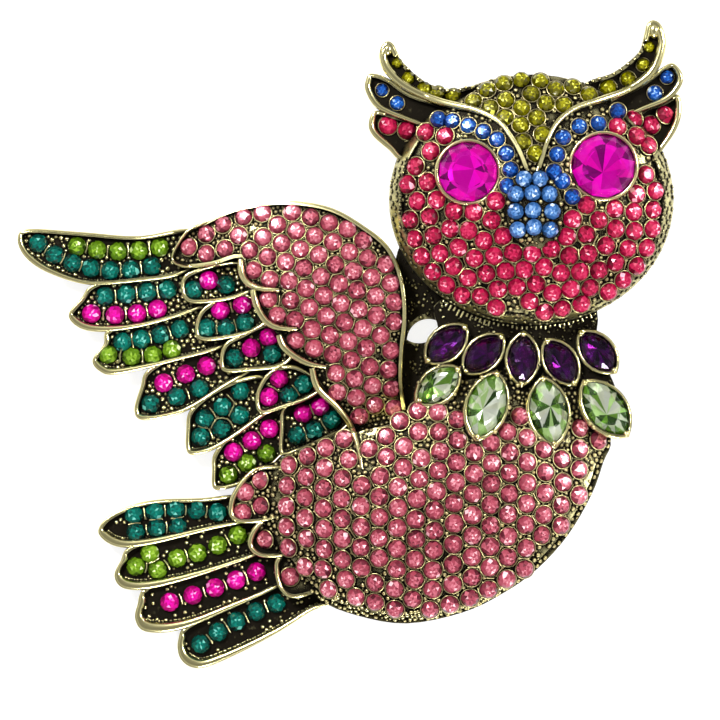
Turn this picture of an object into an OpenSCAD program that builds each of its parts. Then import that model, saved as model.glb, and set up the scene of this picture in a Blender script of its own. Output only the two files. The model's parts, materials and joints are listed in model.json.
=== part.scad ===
/* [Body and neck] */
// Width of the round body, from the tail root to the breast
body_w = 36.2; // [32:0.1:40]
// Length of the round body, from the collar to the belly
body_l = 25.3; // [23:0.1:28]
// Height of the body dome above the flat back
body_top = 8.6; // [8:0.1:10]
// Radius of the sphere that the body dome is part of
body_ball_r = 31; // [28:0.5:36]
// Height of the neck that carries the collar
neck_top = 5; // [4.5:0.1:5.5]

/* [Wing] */
// Reach of the wing, from its tip to its root at the neck
wing_w = 39.1; // [35:0.1:42]
// Height of the wing, from its shoulder to its lowest feather
wing_l = 28.8; // [26:0.1:31]
// Height of the wing shoulder's dome above the flat back
shoulder_top = 5.6; // [5:0.1:6.2]
// Radius of the sphere that the shoulder's dome is part of
shoulder_ball_r = 34; // [30:0.5:40]

/* [Tail] */
// Reach of the tail, from its tip to its root in the body
tail_w = 23.2; // [21:0.1:25]
// Height of the tail fan
tail_l = 17.0; // [15.5:0.1:18.5]

/* [Head] */
// Width of the head at its foot
head_w = 28.4; // [26:0.1:31]
// Height of the head at its foot, without the ear tufts
head_l = 25.0; // [23:0.1:27]
// Height of the face dome above the flat back
head_top = 10.4; // [9.6:0.1:11.4]
// Radius of the sphere that the face dome is part of
head_ball_r = 27; // [24:0.5:32]
// Height of the grained wall round the head
head_wall_top = 5.4; // [5:0.1:6]
// Underside of the ear tufts above the flat back
tuft_under = 3; // [2.6:0.1:3.4]
// Floor of the ear tufts, under their stones
tuft_floor = 6.1; // [5.8:0.1:6.4]

/* [Casting] */
// Thickness of the flat feather plates
plate_t = 1.7; // [1.5:0.05:2]
// How far the short upper feathers stand above the long ones
covert_step = 0.8; // [0.75:0.05:1]
// Wall of the hollow domes
shell_t = 1.2; // [1:0.05:1.4]
// Width of the raised rims round feathers and lobes
rim_w = 0.34; // [0.3:0.01:0.5]
// Height of the raised rims above their floor
rim_h = 0.75; // [0.6:0.05:0.9]
// Width of the sloping grained edge round the head
head_edge_w = 1.15; // [0.9:0.05:1.4]
// Width of the beaded edge round the body
body_edge_w = 0.75; // [0.6:0.05:1]
// Height of the bright brow ridges above the face
brow_h = 0.7; // [0.5:0.05:0.9]

/* [Stones] */
// Diameter of the small round stones of the close fields
stone_d = 1.88; // [1.7:0.01:1.9]
// Diameter of the round stones in the wing's and the tail's feathers
feather_d = 1.62; // [1.5:0.01:1.65]
// Space between neighbours in the wing's field of stones
stone_gap = 0.15; // [0.12:0.01:0.4]
// Diameter of the finer stones on the brows, beak and crown
fine_d = 1.45; // [1.3:0.01:1.5]
// Height of a small stone above its floor
stone_h = 0.95; // [0.8:0.05:1.1]
// Diameter of the left eye stone
eye_left_d = 5.9; // [5.4:0.05:6.2]
// Diameter of the right eye stone
eye_right_d = 6.3; // [5.9:0.05:6.6]
// Height of an eye stone above its seat
eye_h = 2.1; // [1.8:0.1:2.5]
// Length and width of the five purple stones of the collar and of its small green one
collar_purple = [5.0, 2.9]; // [2.4:0.1:5.6]
// Length and width of the three large green stones of the collar
collar_green = [6.6, 3.7]; // [3:0.1:7.2]
// Height of a collar stone above its seat
collar_h = 1.3; // [1:0.1:1.6]
// Wall of the bezels round eye and collar stones
bezel_w = 0.3; // [0.25:0.05:0.5]
// Clearance between a stone and the metal round and under it
stone_clear = 0.05; // [0.03:0.01:0.1]

/* [Pin back] */
// Room between the ends of the pin's bar and the edges of the body
pin_end_room = 6.1; // [5.6:0.1:8]
// Width of the pin's bar
pin_w = 2.6; // [2.2:0.1:3]
// Thickness of the pin's bar
pin_t = 0.8; // [0.6:0.05:1]
// Underside of the pin's bar above the flat back
pin_under = 2.4; // [2.2:0.1:2.6]
// Diameter of the pin's stem
stem_d = 0.9; // [0.8:0.05:1]
// Diameter of the two rivet posts
rivet_d = 1.3; // [1.2:0.05:1.5]
// Clearance of the rivet posts in the bar
rivet_clear = 0.05; // [0.03:0.01:0.1]

/* [Hidden] */
$fn = 48;
far = 100;
bite = 0.2;
gold = "darkkhaki";

// Each region is drawn on a chart, x to the right and y down, with the model's origin at chart_mid.
// A place is a share of its region's named width and length: a region's span is what they measure
// on the chart. Wing, tail and head are hung on the body at their roots.
chart_mid = [349.25, 345.3];
body_span = [362, 253];
wing_span = [391, 288];
tail_span = [232, 170];
head_span = [284, 250];
wing_root = [300, 440];
tail_root = [240, 520];
head_root = [531, 290];
function share(p, from, span, size) =
    [(p[0] - from[0]) / span[0] * size[0], (from[1] - p[1]) / span[1] * size[1]];
function body_at(p) = share(p, chart_mid, body_span, [body_w, body_l]);
function wing_at(p) = body_at(wing_root) + share(p, wing_root, wing_span, [wing_w, wing_l]);
function tail_at(p) = body_at(tail_root) + share(p, tail_root, tail_span, [tail_w, tail_l]);
function head_at(p) = body_at(head_root) + share(p, head_root, head_span, [head_w, head_l]);

// A closed smooth curve through a few chart points.
steps = 4;
function curve_point(a, b, c, d, t) = 0.5 * (2 * b + (c - a) * t
    + (2 * a - 5 * b + 4 * c - d) * t * t + (3 * b - a - 3 * c + d) * t * t * t);
function smooth(p) = let (n = len(p)) [for (i = [0:n - 1], s = [0:steps - 1])
    curve_point(p[(i + n - 1) % n], p[i], p[(i + 1) % n], p[(i + 2) % n], s / steps)];
// An open smooth curve, and a point on the bow through three points.
function open_curve(p) = let (n = len(p) - 1) concat([for (i = [0:n - 1], s = [0:steps - 1])
    curve_point(p[max(i - 1, 0)], p[i], p[i + 1], p[min(i + 2, n)], s / steps)], [p[n]]);
function bow(a, m, b, t) = a * (1 - t) * (1 - 2 * t) + m * 4 * t * (1 - t) + b * t * (2 * t - 1);

// Long wing feathers in the order in which they lie over each other: four from the top one down, the
// innermost, then the last two.
long_feathers = [
    [[17, 238], [28, 229], [81, 232], [138, 236], [191, 229], [215, 250],
     [180, 274], [138, 281], [88, 284], [47, 272], [24, 256]],
    [[68, 316], [81, 298], [92, 285], [130, 272], [200, 262], [218, 295],
     [184, 314], [127, 329], [86, 330]],
    [[92, 360], [103, 345], [112, 327], [184, 305], [215, 315], [228, 343],
     [174, 361], [117, 374], [99, 371]],
    [[134, 411], [140, 388], [150, 368], [200, 345], [245, 350], [252, 368],
     [224, 387], [183, 412], [144, 420]],
    [[281, 455], [280, 430], [283, 408], [305, 396], [338, 388], [356, 410],
     [346, 428], [325, 441], [302, 450]],
    [[187, 452], [186, 431], [191, 409], [222, 386], [262, 376], [275, 403],
     [252, 424], [222, 445], [200, 454]],
    [[213, 488], [212, 471], [215, 452], [242, 421], [275, 408], [294, 436],
     [278, 460], [251, 480], [226, 489]]];
// Short wing feathers, over the roots of the long ones.
short_feathers = [
    [[181, 290], [185, 275], [208, 266], [240, 262], [258, 283], [243, 295], [214, 302], [189, 302]],
    [[195, 331], [200, 312], [217, 300], [245, 294], [272, 312], [256, 330], [223, 339], [201, 340]],
    [[220, 364], [224, 345], [242, 334], [270, 324], [294, 348], [282, 366], [247, 371], [226, 372]],
    [[256, 406], [258, 388], [272, 370], [296, 366], [322, 384], [310, 398], [283, 408], [263, 414]]];
// The grained ground between the feathers' roots.
wing_ground = [[186, 248], [240, 240], [330, 300], [360, 430], [300, 442], [276, 446], [262, 420],
               [236, 384], [206, 352], [190, 300]];
// The wing's shoulder, and the four lobes whose rims cross it.
shoulder = [[171, 257], [185, 232], [203, 222], [232, 209], [267, 202], [300, 202], [333, 209],
            [363, 226], [388, 247], [402, 278], [406, 313], [403, 348], [402, 382], [406, 415],
            [408, 455], [374, 462], [360, 440], [346, 418], [326, 396], [314, 378], [306, 364],
            [290, 352], [279, 336], [264, 318], [254, 300], [244, 278], [240, 258], [212, 265],
            [183, 267]];
shoulder_rims = [
    [[241, 260], [242, 274], [249, 284], [262, 289], [279, 290]],
    [[253, 290], [257, 306], [266, 321], [279, 328], [297, 329]],
    [[279, 335], [284, 347], [296, 357], [310, 364], [326, 367]],
    [[312, 368], [318, 388], [338, 408], [351, 427], [358, 446], [362, 468]]];
// Tail feathers from the top one down.
tail_feathers = [
    [[98, 534], [107, 518], [134, 505], [162, 500], [200, 499], [250, 496], [270, 515],
     [210, 530], [150, 545], [117, 547]],
    [[114, 577], [120, 562], [132, 546], [190, 528], [255, 515], [272, 545],
     [220, 569], [156, 588], [124, 589]],
    [[135, 621], [137, 606], [147, 587], [200, 568], [270, 545], [295, 575],
     [220, 614], [176, 631], [145, 632]],
    [[179, 657], [178, 641], [187, 626], [230, 605], [300, 570], [345, 597],
     [312, 611], [280, 631.5], [241, 652.5], [206, 667.5], [189, 667]]];
// Three lobes of the body over the tail root.
tail_lobes = [
    [[229, 514], [234, 491], [256, 468], [290, 470], [302, 498], [275, 518], [243, 523]],
    [[248, 545], [256, 525], [284, 507], [320, 500], [332, 530], [294, 553], [262, 557]],
    [[275, 573], [279, 556], [310, 538], [350, 540], [362, 575], [330, 588], [296, 598], [281, 591]]];
body = [[248, 482], [283, 457], [345, 428], [402, 412], [422, 384], [470, 372], [540, 366],
        [590, 392], [611, 438], [604, 462], [592, 495], [568, 536], [537, 570], [503, 594],
        [463, 613], [407, 624], [357, 616], [318, 599], [284, 562], [254, 520]];
// The dark plate beside the wing, and the neck under the collar.
neck_plate = [[398, 250], [393, 300], [400, 360], [400, 420], [450, 430], [560, 420], [604, 400],
              [597, 345], [590, 300], [500, 280], [440, 262], [415, 240]];
neck = [[440, 300], [437, 330], [428, 356], [440, 392], [520, 410], [600, 420], [618, 400],
        [604, 362], [594, 335], [590, 300], [520, 290]];
neck_hole = [424, 331];
neck_hole_size = [3.8, 2.2];
neck_hole_turn = 27;

// The ear tufts and the two lobes beside each eye, and the bright ridge of each brow.
tuft_left = [[388, 43], [383, 46], [380, 55], [387, 72], [405, 88], [440, 107], [475, 118], [500, 105],
             [475, 88], [450, 91], [425, 83], [404, 65], [397, 54], [393, 46]];
tuft_right = [[652, 22], [646, 26], [643, 38], [637, 54], [612, 74], [585, 84], [575, 105], [600, 102],
              [628, 91], [651, 71], [661, 53], [663, 37], [659, 26]];
brow_lobe_left = [[371, 75], [366, 82], [366, 92], [376, 108], [400, 119], [440, 130], [450, 110],
                  [410, 95], [388, 80]];
brow_lobe_right = [[672, 65], [681, 76], [679, 88], [667, 101], [645, 110], [615, 120], [605, 105],
                   [640, 85], [660, 70]];
cheek_lobe_left = [[376, 112], [369, 124], [373, 136], [389, 150], [402, 160], [430, 150],
                   [430, 125], [400, 118]];
cheek_lobe_right = [[677, 96], [680, 112], [676, 128], [666, 144], [650, 160], [630, 140],
                    [640, 112], [662, 103]];
brow_ridge_left = [[388, 71], [405, 87], [440, 103], [475, 112], [497, 123], [511, 141], [519, 156],
                   [524, 169]];
brow_ridge_right = [[651, 72], [628, 90], [600, 101], [574, 110], [556, 124], [546, 142], [541, 157],
                    [537.5, 169]];
beak = [[512, 182], [506, 200], [507, 228], [516, 242], [534, 250], [552, 242], [560, 228],
        [559, 200], [550, 183], [531, 171]];
// The crown, where the stones run right up to the head's edge.
crown = [[462, 108], [474, 92], [500, 79], [533, 74], [562, 78], [588, 88], [604, 100], [572, 125],
         [495, 125]];
eye_left = [467, 174];
eye_right = [601, 168];

// Rows of round stones: first, middle and last place, number of stones.
wing_rows_teal = [
    [[37, 243], [90, 268], [151, 266], 7], [[104, 296], [136, 293], [167, 289.5], 4],
    [[122, 342], [150, 337], [179.4, 329], 4], [[150, 404], [176, 397], [199, 389], 3],
    [[204, 419], [222, 407], [240, 391], 3], [[200, 437], [221, 429], [239.5, 415.5], 3],
    [[297, 436], [314, 430.5], [332, 420], 3]];
short_rows_teal = [
    [[193, 290], [209, 287], [226, 285], 2], [[206, 328], [226, 328], [245, 323], 3],
    [[234, 358], [253, 356], [272, 354], 2], [[289, 395], [296, 390], [303.5, 384.5], 2]];
wing_rows_green = [
    [[76, 246], [117, 251], [159, 247], 5], [[107, 354.5], [142, 356.5], [171, 349.5], 4],
    [[228, 475.5], [246.5, 463.5], [266, 454], 3]];
wing_rows_fuchsia = [
    [[90.5, 313.5], [125.5, 314.5], [156.7, 309], 4], [[163, 383], [185, 374], [206, 366], 3],
    [[233, 452.5], [251.5, 441], [269, 429], 3], [[303, 413.5], [311, 410], [320, 406.5], 2]];
short_rows_fuchsia = [
    [[208.5, 280], [208.5, 280], [208.5, 280], 1], [[220, 310], [231, 307], [242, 304.5], 2],
    [[251, 348], [260, 342], [268.5, 337], 2], [[268.5, 397], [274, 388], [279, 378.5], 2]];
tail_rows_teal = [
    [[133, 515], [175, 510], [217, 513], 5], [[135, 532.5], [156, 528.5], [177, 527], 3],
    [[200, 645], [236, 622], [276, 604], 5]];
tail_rows_green = [
    [[135, 567], [146, 569], [157, 570.5], 2], [[149, 554], [149, 554], [149, 554], 1],
    [[176.5, 559], [207, 550], [237.5, 535.5], 4]];
tail_rows_fuchsia = [[[169, 603], [214.5, 588.5], [256, 572.5], 5]];
brow_rows = [
    [[435, 120], [468, 128], [496, 142], 5], [[505, 156], [507, 164], [509, 172], 2],
    [[596, 126], [577, 129], [561, 140], 3], [[555, 157], [553, 165], [552, 174], 2],
    [[570, 198.5], [570, 198.5], [570, 198.5], 1], [[616, 114], [616, 114], [616, 114], 1]];
tuft_rows_blue = [[[382, 91], [390, 97], [397, 104], 2], [[666, 78], [660, 86], [654, 94], 2]];
beak_rows = [
    [[522, 181], [530, 181], [538, 181], 2], [[514, 196], [530.5, 195], [547, 196], 3],
    [[514, 213], [531, 212], [550, 213], 3], [[516, 231], [532, 228.5], [548, 231], 3]];
crown_rows = [
    [[490, 87], [534, 82], [578, 87], 6], [[481, 103.5], [525, 99], [568, 101], 6],
    [[508, 117], [529, 116], [550, 115.5], 3], [[519, 128.5], [530, 128.5], [540, 128.5], 2],
    [[530.5, 142.5], [530.5, 150], [530.5, 158.5], 2]];
tuft_rows_olive = [
    [[397, 64], [408, 79], [424, 90], 3], [[648, 48], [642, 66], [627, 80], 3],
    [[607, 89], [607, 89], [607, 89], 1]];

// Purple and green stones of the collar: place and turn of the long axis. The first green one is small.
purple_stones = [[[446, 344], 42], [[483, 354], 44], [[522, 359], 88], [[560, 362], -57],
                 [[597, 352], -48]];
green_stones = [[[438, 385], 39], [[486, 405], 73], [[548, 411], -80], [[605, 408], -51]];

body_peak = [445, 500];
shoulder_peak = [330, 295];
head_peak = [531, 200];
pin_row = [[251, 500], [613, 500]];
body_mid = body_at(body_peak);
shoulder_mid = wing_at(shoulder_peak);
head_mid = head_at(head_peak);
covert_floor = plate_t + covert_step;
lobe_floor = covert_floor + 0.3;
rivet_head_t = 0.5;
rivet_head_d = rivet_d + 0.8;
rivet_share = 0.36;
stem_z = stem_d;
oval_sides = 64;
tuft_step = 0.3;
beak_rise = 0.5;
bezel_h = 0.7;
bezel_floor = 0.3;
tip_sink = 0.4;
eye_sink = 0.3;
crown_step = 0.15;
eye_sides = 12;
boat_sides = 6;

// Height of a dome of the given ball over a place, and its outward direction there.
function dome_z(p, mid, r, top) = let (q = p - mid) top - r + sqrt(max(r * r - q * q, 0));
function dome_out(p, mid, r) = let (q = p - mid) [q[0], q[1], sqrt(max(r * r - q * q, 0))] / r;

// A cut stone as a closed shell of rings: base, girdle and table, turned to a direction.
girdle_share = 0.42;
base_share = 0.72;
table_share = 0.56;
sides = 8;
function ring(r, z, n, turn) = [for (i = [0:n - 1])
    [r * cos((i + turn) * 360 / n), r * sin((i + turn) * 360 / n), z]];
function stone_shell(r, h) = concat(ring(r * base_share, 0, sides, 0),
    ring(r, h * girdle_share, sides, 0), ring(r * table_share, h, sides, 0.5));
function turned(v, out) = let (x = unit(cross([0, 1, 0], out)), y = cross(out, x))
    x * v[0] + y * v[1] + out * v[2];
function unit(v) = v / norm(v);
function band(a, b, n) = [for (i = [0:n - 1], half = [0, 1]) half == 0
    ? [a + i, b + i, a + (i + 1) % n] : [a + (i + 1) % n, b + i, b + (i + 1) % n]];
function shell_faces(start, n) = concat(
    [[for (i = [0:n - 1]) start + i]],
    band(start, start + n, n), band(start + n, start + 2 * n, n),
    [[for (i = [n - 1:-1:0]) start + 2 * n + i]]);

module small_stones(seats, r, h) {
    shell = stone_shell(r, h);
    polyhedron([for (s = seats, v = shell) s[0] + turned(v, s[1])],
               [for (k = [0:len(seats) - 1], f = shell_faces(k * len(shell), sides)) f], 4);
}

function row_places(rows) = [for (row = rows, i = [0:row[3] - 1])
    bow(row[0], row[1], row[2], row[3] > 1 ? i / (row[3] - 1) : 0)];
function all_places(lists, at) = [for (rows = lists, p = row_places(rows)) at(p)];
function flat_seats(rows, floor_z, at) = [for (p = row_places(rows))
    let (q = at(p)) [[q[0], q[1], floor_z + stone_clear], [0, 0, 1]]];
function dome_seats(rows, at, mid, r, top) = [for (p = row_places(rows))
    let (q = at(p), out = dome_out(q, mid, r))
    [[q[0], q[1], dome_z(q, mid, r, top)] + out * stone_clear, out]];

module shape(points) polygon(smooth(points));
module inset_shape(points, by) offset(delta = -by) shape(points);
module line_shape(points, w) {
    p = open_curve(points);
    offset(r = w / 2, $fn = 12) polygon(concat(p, [for (i = [len(p) - 1:-1:0]) p[i] + [0.01, 0.01]]));
}
module ball_cap(mid, r, top) translate([mid[0], mid[1], top - r]) sphere(r);

// Feathers that lie over each other like shingles: each outline less the ones above it. Their rims
// give way where a stone needs room.
module shingles(outlines, rim) for (k = [0:len(outlines) - 1]) difference() {
    shape(outlines[k]);
    if (rim > 0) inset_shape(outlines[k], rim);
    for (j = [0:1:k - 1]) shape(outlines[j]);
}
module fan(outlines, floor_z, seats) {
    linear_extrude(floor_z) offset(delta = 0.001) shingles(outlines, 0);
    linear_extrude(floor_z + rim_h) offset(delta = 0.001) difference() {
        shingles(outlines, rim_w);
        for (s = seats) translate(s) circle(feather_d / 2 + stone_clear, $fn = 24);
    }
}

function all_at(lists, at) = [for (l = lists) [for (p = l) at(p)]];
long_outlines = all_at(long_feathers, function (p) wing_at(p));
short_outlines = all_at(short_feathers, function (p) wing_at(p));
tail_outlines = all_at(tail_feathers, function (p) tail_at(p));
lobe_outlines = all_at(tail_lobes, function (p) body_at(p));
shoulder_outline = [for (p = shoulder) wing_at(p)];
body_outline = [for (p = body) body_at(p)];

module wing() {
    linear_extrude(plate_t) shape([for (p = wing_ground) wing_at(p)]);
    fan(long_outlines, plate_t,
        all_places([wing_rows_teal, wing_rows_green, wing_rows_fuchsia], function (p) wing_at(p)));
    fan(short_outlines, covert_floor,
        all_places([short_rows_teal, short_rows_fuchsia], function (p) wing_at(p)));
    shoulder_dome();
}
module shoulder_dome() {
    linear_extrude(covert_floor) shape(shoulder_outline);
    intersection() {
        linear_extrude(far) shape(shoulder_outline);
        ball_cap(shoulder_mid, shoulder_ball_r, shoulder_top);
    }
    intersection() {
        linear_extrude(far) union() {
            difference() {
                shape(shoulder_outline);
                inset_shape(shoulder_outline, rim_w);
            }
            for (r = shoulder_rims) line_shape([for (p = r) wing_at(p)], rim_w);
        }
        ball_cap(shoulder_mid, shoulder_ball_r + rim_h, shoulder_top + rim_h);
    }
}
module tail() {
    fan(tail_outlines, plate_t,
        all_places([tail_rows_teal, tail_rows_green, tail_rows_fuchsia], function (p) tail_at(p)));
    fan(lobe_outlines, lobe_floor, []);
}
module body_dome() {
    linear_extrude(lobe_floor) shape(body_outline);
    intersection() {
        linear_extrude(far) inset_shape(body_outline, body_edge_w);
        ball_cap(body_mid, body_ball_r, body_top);
    }
}
module neck_and_plate() {
    linear_extrude(covert_floor) shape([for (p = neck_plate) body_at(p)]);
    linear_extrude(neck_top) shape([for (p = neck) body_at(p)]);
}

// A boat-shaped outline with two pointed ends, for the collar's stones and their settings.
module boat(size, grow) {
    l = size[0] + 2 * grow;
    w = size[1] + 2 * grow;
    r = (l * l + w * w) / (4 * w);
    intersection() {
        translate([0, r - w / 2]) circle(r);
        translate([0, w / 2 - r]) circle(r);
    }
}
function purple_seat(k) = concat(body_at(purple_stones[k][0]), [neck_top + bezel_floor]);
function green_size(k) = k == 0 ? collar_purple : collar_green;
// A green stone lies level, high enough for both its points to stand clear of the body's dome.
function green_seat(k) = let (p = body_at(green_stones[k][0]), turn = green_stones[k][1],
    tip = [cos(turn), sin(turn)] * green_size(k)[0] / 2,
    highest = max([for (q = [p - tip, p + tip]) dome_z(q, body_mid, body_ball_r, body_top)]))
    concat(p, [max(dome_z(p, body_mid, body_ball_r, body_top), highest - tip_sink, neck_top) + bezel_floor]);
module at_seat(seat, turn) translate(seat) rotate(turn) children();
collar_seats = concat(
    [for (k = [0:len(purple_stones) - 1]) [purple_seat(k), purple_stones[k][1], collar_purple]],
    [for (k = [0:len(green_stones) - 1]) [green_seat(k), green_stones[k][1], green_size(k)]]);
module collar_walls() for (s = collar_seats)
    at_seat([s[0][0], s[0][1], neck_top - bezel_h], s[1])
        linear_extrude(s[0][2] + 2 * bezel_h - neck_top) boat(s[2], stone_clear + bezel_w);
module collar_pockets() for (s = collar_seats)
    at_seat(s[0], s[1]) linear_extrude(far) boat(s[2], stone_clear);

function oval(w, l) = [for (i = [0:oval_sides - 1])
    let (a = i * 360 / oval_sides) head_mid + [w / 2 * cos(a), l / 2 * sin(a)]];
module head_oval(by) polygon(oval(head_w - 2 * by, head_l - 2 * by));
module head_cap(lift) ball_cap(head_mid, head_ball_r + lift, head_top + lift);
module head_relief(lift) intersection() {
    linear_extrude(far) intersection() {
        head_oval(head_edge_w / 2);
        union() children();
    }
    head_cap(lift);
}
tuft_outlines = [for (l = [tuft_left, tuft_right]) [for (p = l) head_at(p)]];
brow_lobes = [for (l = [brow_lobe_left, brow_lobe_right]) [for (p = l) head_at(p)]];
cheek_lobes = [for (l = [cheek_lobe_left, cheek_lobe_right]) [for (p = l) head_at(p)]];
tuft_seats = all_places([tuft_rows_olive, tuft_rows_blue], function (p) head_at(p));
module tufts() {
    levels = [tuft_outlines, brow_lobes, cheek_lobes];
    for (k = [0:len(levels) - 1], side = [0, 1]) translate([0, 0, tuft_under]) {
        stack = [for (j = [k:-1:0]) levels[j][side]];
        floor_z = tuft_floor - tuft_under - k * tuft_step;
        linear_extrude(floor_z) shape(levels[k][side]);
        linear_extrude(floor_z + rim_h) offset(delta = 0.001) difference() {
            shape(levels[k][side]);
            inset_shape(levels[k][side], rim_w);
            for (j = [0:1:k - 1]) shape(levels[j][side]);
            for (s = tuft_seats) translate(s) circle(fine_d / 2 + stone_clear, $fn = 24);
        }
    }
}
module head() {
    linear_extrude(head_wall_top) head_oval(0);
    intersection() {
        linear_extrude(far) union() {
            head_oval(head_edge_w);
            intersection() {
                head_oval(crown_step);
                shape([for (p = crown) head_at(p)]);
            }
        }
        head_cap(0);
    }
    head_relief(brow_h) {
        line_shape([for (p = brow_ridge_left) head_at(p)], rim_w);
        line_shape([for (p = brow_ridge_right) head_at(p)], rim_w);
    }
    head_relief(beak_rise) shape([for (p = beak) head_at(p)]);
    tufts();
    eye_setting(eye_left_seat, eye_left_d);
    eye_setting(eye_right_seat, eye_right_d);
}
function eye_seat(p) = let (q = head_at(p))
    concat(q, [dome_z(q, head_mid, head_ball_r, head_top) - eye_sink]);
eye_left_seat = eye_seat(eye_left);
eye_right_seat = eye_seat(eye_right);
module eye_setting(seat, d) translate([0, 0, -bezel_h]) translate(seat)
    cylinder(d = d + 2 * (stone_clear + bezel_w), h = 2 * bezel_h);
module eye_bore(seat, d) translate(seat) cylinder(d = d + 2 * stone_clear, h = far);

// The hollows behind the three domes, open at the flat back.
module hollow(mid, r, top, h) translate([0, 0, -bite]) intersection() {
    linear_extrude(far) children();
    translate([0, 0, bite]) ball_cap(mid, r - shell_t, top - shell_t);
}
module hollows() {
    hollow(body_mid, body_ball_r, body_top) inset_shape(body_outline, body_edge_w + shell_t);
    hollow(head_mid, head_ball_r, head_top) head_oval(head_edge_w + shell_t);
    hollow(shoulder_mid, shoulder_ball_r, shoulder_top) inset_shape(shoulder_outline, 2 * shell_t);
}

// The pin's bar sits on two bosses under the body dome, held by their riveted posts.
pin_ends = [for (p = pin_row) body_at(p)];
pin_mid = (pin_ends[0] + pin_ends[1]) / 2;
pin_l = norm(pin_ends[1] - pin_ends[0]) - 2 * pin_end_room;
bar_top = pin_under + pin_t;
rivet_places = [for (side = [-1, 1]) pin_mid + [side * pin_l * rivet_share, 0]];
module bosses() for (p = rivet_places) translate(p) {
    translate([0, 0, bar_top])
        cylinder(d = pin_w, h = dome_z(p, body_mid, body_ball_r, body_top) - shell_t / 2 - bar_top);
    translate([0, 0, pin_under - rivet_head_t])
        cylinder(d = rivet_d, h = pin_t + rivet_head_t + bite);
    translate([0, 0, pin_under - rivet_head_t]) cylinder(d = rivet_head_d, h = rivet_head_t);
}

module casting() color(gold) {
    difference() {
        union() {
            wing();
            tail();
            body_dome();
            neck_and_plate();
            head();
            collar_walls();
        }
        hollows();
        collar_pockets();
        eye_bore(eye_left_seat, eye_left_d);
        eye_bore(eye_right_seat, eye_right_d);
        translate(concat(body_at(neck_hole), [-bite])) rotate(neck_hole_turn)
            linear_extrude(far) boat(neck_hole_size, 0);
    }
    bosses();
}

module pin_back() color(gold) {
    difference() {
        translate(concat(pin_mid, [pin_under])) union() {
            translate([-pin_l / 2, -pin_w / 2, 0]) cube([pin_l, pin_w, pin_t]);
            translate([-pin_l / 2, pin_w / 2, 0]) rotate([90, 0, 0])
                cylinder(d = 2 * pin_t, h = pin_w);
        }
        for (p = rivet_places) translate(concat(p, [0])) cylinder(d = rivet_d + 2 * rivet_clear, h = far);
    }
    translate(concat(pin_mid, [stem_z])) {
        translate([-pin_l / 2, 0, 0]) rotate([0, 90, 0]) cylinder(d = stem_d, h = pin_l);
        for (side = [-1, 1]) translate([side * pin_l / 2 - pin_t, -pin_t, -stem_d / 2])
            cube([2 * pin_t, 2 * pin_t, pin_under - stem_z + stem_d / 2 + pin_t]);
    }
}

module cut_eye(seat, d) color("deeppink") translate(seat) translate([0, 0, stone_clear])
    polyhedron(concat(ring(d * 0.36, 0, eye_sides, 0), ring(d / 2, eye_h * 0.4, eye_sides, 0),
                      ring(d * 0.41, eye_h * 0.75, eye_sides, 0.5), ring(d * 0.28, eye_h, eye_sides, 1)),
               concat([[for (i = [0:eye_sides - 1]) i]],
                      [for (k = [0:2], f = band(k * eye_sides, (k + 1) * eye_sides, eye_sides)) f],
                      [[for (i = [eye_sides - 1:-1:0]) 3 * eye_sides + i]]), 4);
function boat_ring(size, share, z) = let (l = size[0] * share, w = size[1] * share,
    r = (l * l + w * w) / (4 * w), a = asin(l / 2 / r))
    [for (side = [1, -1], i = [0:boat_sides - 1]) let (t = side * (1 - 2 * i / boat_sides) * a)
        [r * sin(t), side * (r * cos(t) - r + w / 2), z]];
module cut_boat(seat, turn, size) at_seat(seat, turn) translate([0, 0, stone_clear]) {
    n = 2 * boat_sides;
    polyhedron(concat(boat_ring(size, base_share, 0), boat_ring(size, 1, collar_h * girdle_share),
                      boat_ring(size, table_share, collar_h)),
               concat([[for (i = [n - 1:-1:0]) i]], [for (f = band(0, n, n)) [f[0], f[2], f[1]]],
                      [for (f = band(n, 2 * n, n)) [f[0], f[2], f[1]]],
                      [[for (i = [0:n - 1]) 2 * n + i]]), 4);
}
module collar_purple(k) color("indigo") cut_boat(purple_seat(k), purple_stones[k][1], collar_purple);
module collar_green(k) color("palegreen") cut_boat(green_seat(k), green_stones[k][1], green_size(k));

stone_r = stone_d / 2;
fine_r = fine_d / 2;
module wing_field(long_rows, short_rows, tint) color(tint) small_stones(concat(
    flat_seats(long_rows, plate_t, function (p) wing_at(p)),
    flat_seats(short_rows, covert_floor, function (p) wing_at(p))), feather_d / 2, stone_h);
module tail_field(rows, tint) color(tint)
    small_stones(flat_seats(rows, plate_t, function (p) tail_at(p)), feather_d / 2, stone_h);
module brow_stones() color("royalblue") small_stones(concat(
    dome_seats(brow_rows, function (p) head_at(p), head_mid, head_ball_r, head_top),
    flat_seats(tuft_rows_blue, tuft_floor - tuft_step, function (p) head_at(p))), fine_r, stone_h);
module beak_stones() color("steelblue") small_stones(dome_seats(beak_rows,
    function (p) head_at(p), head_mid, head_ball_r + beak_rise, head_top + beak_rise), fine_r, stone_h);
module crown_stones() color("olive") small_stones(concat(
    dome_seats(crown_rows, function (p) head_at(p), head_mid, head_ball_r, head_top),
    flat_seats(tuft_rows_olive, tuft_floor, function (p) head_at(p))), fine_r, stone_h);

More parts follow.
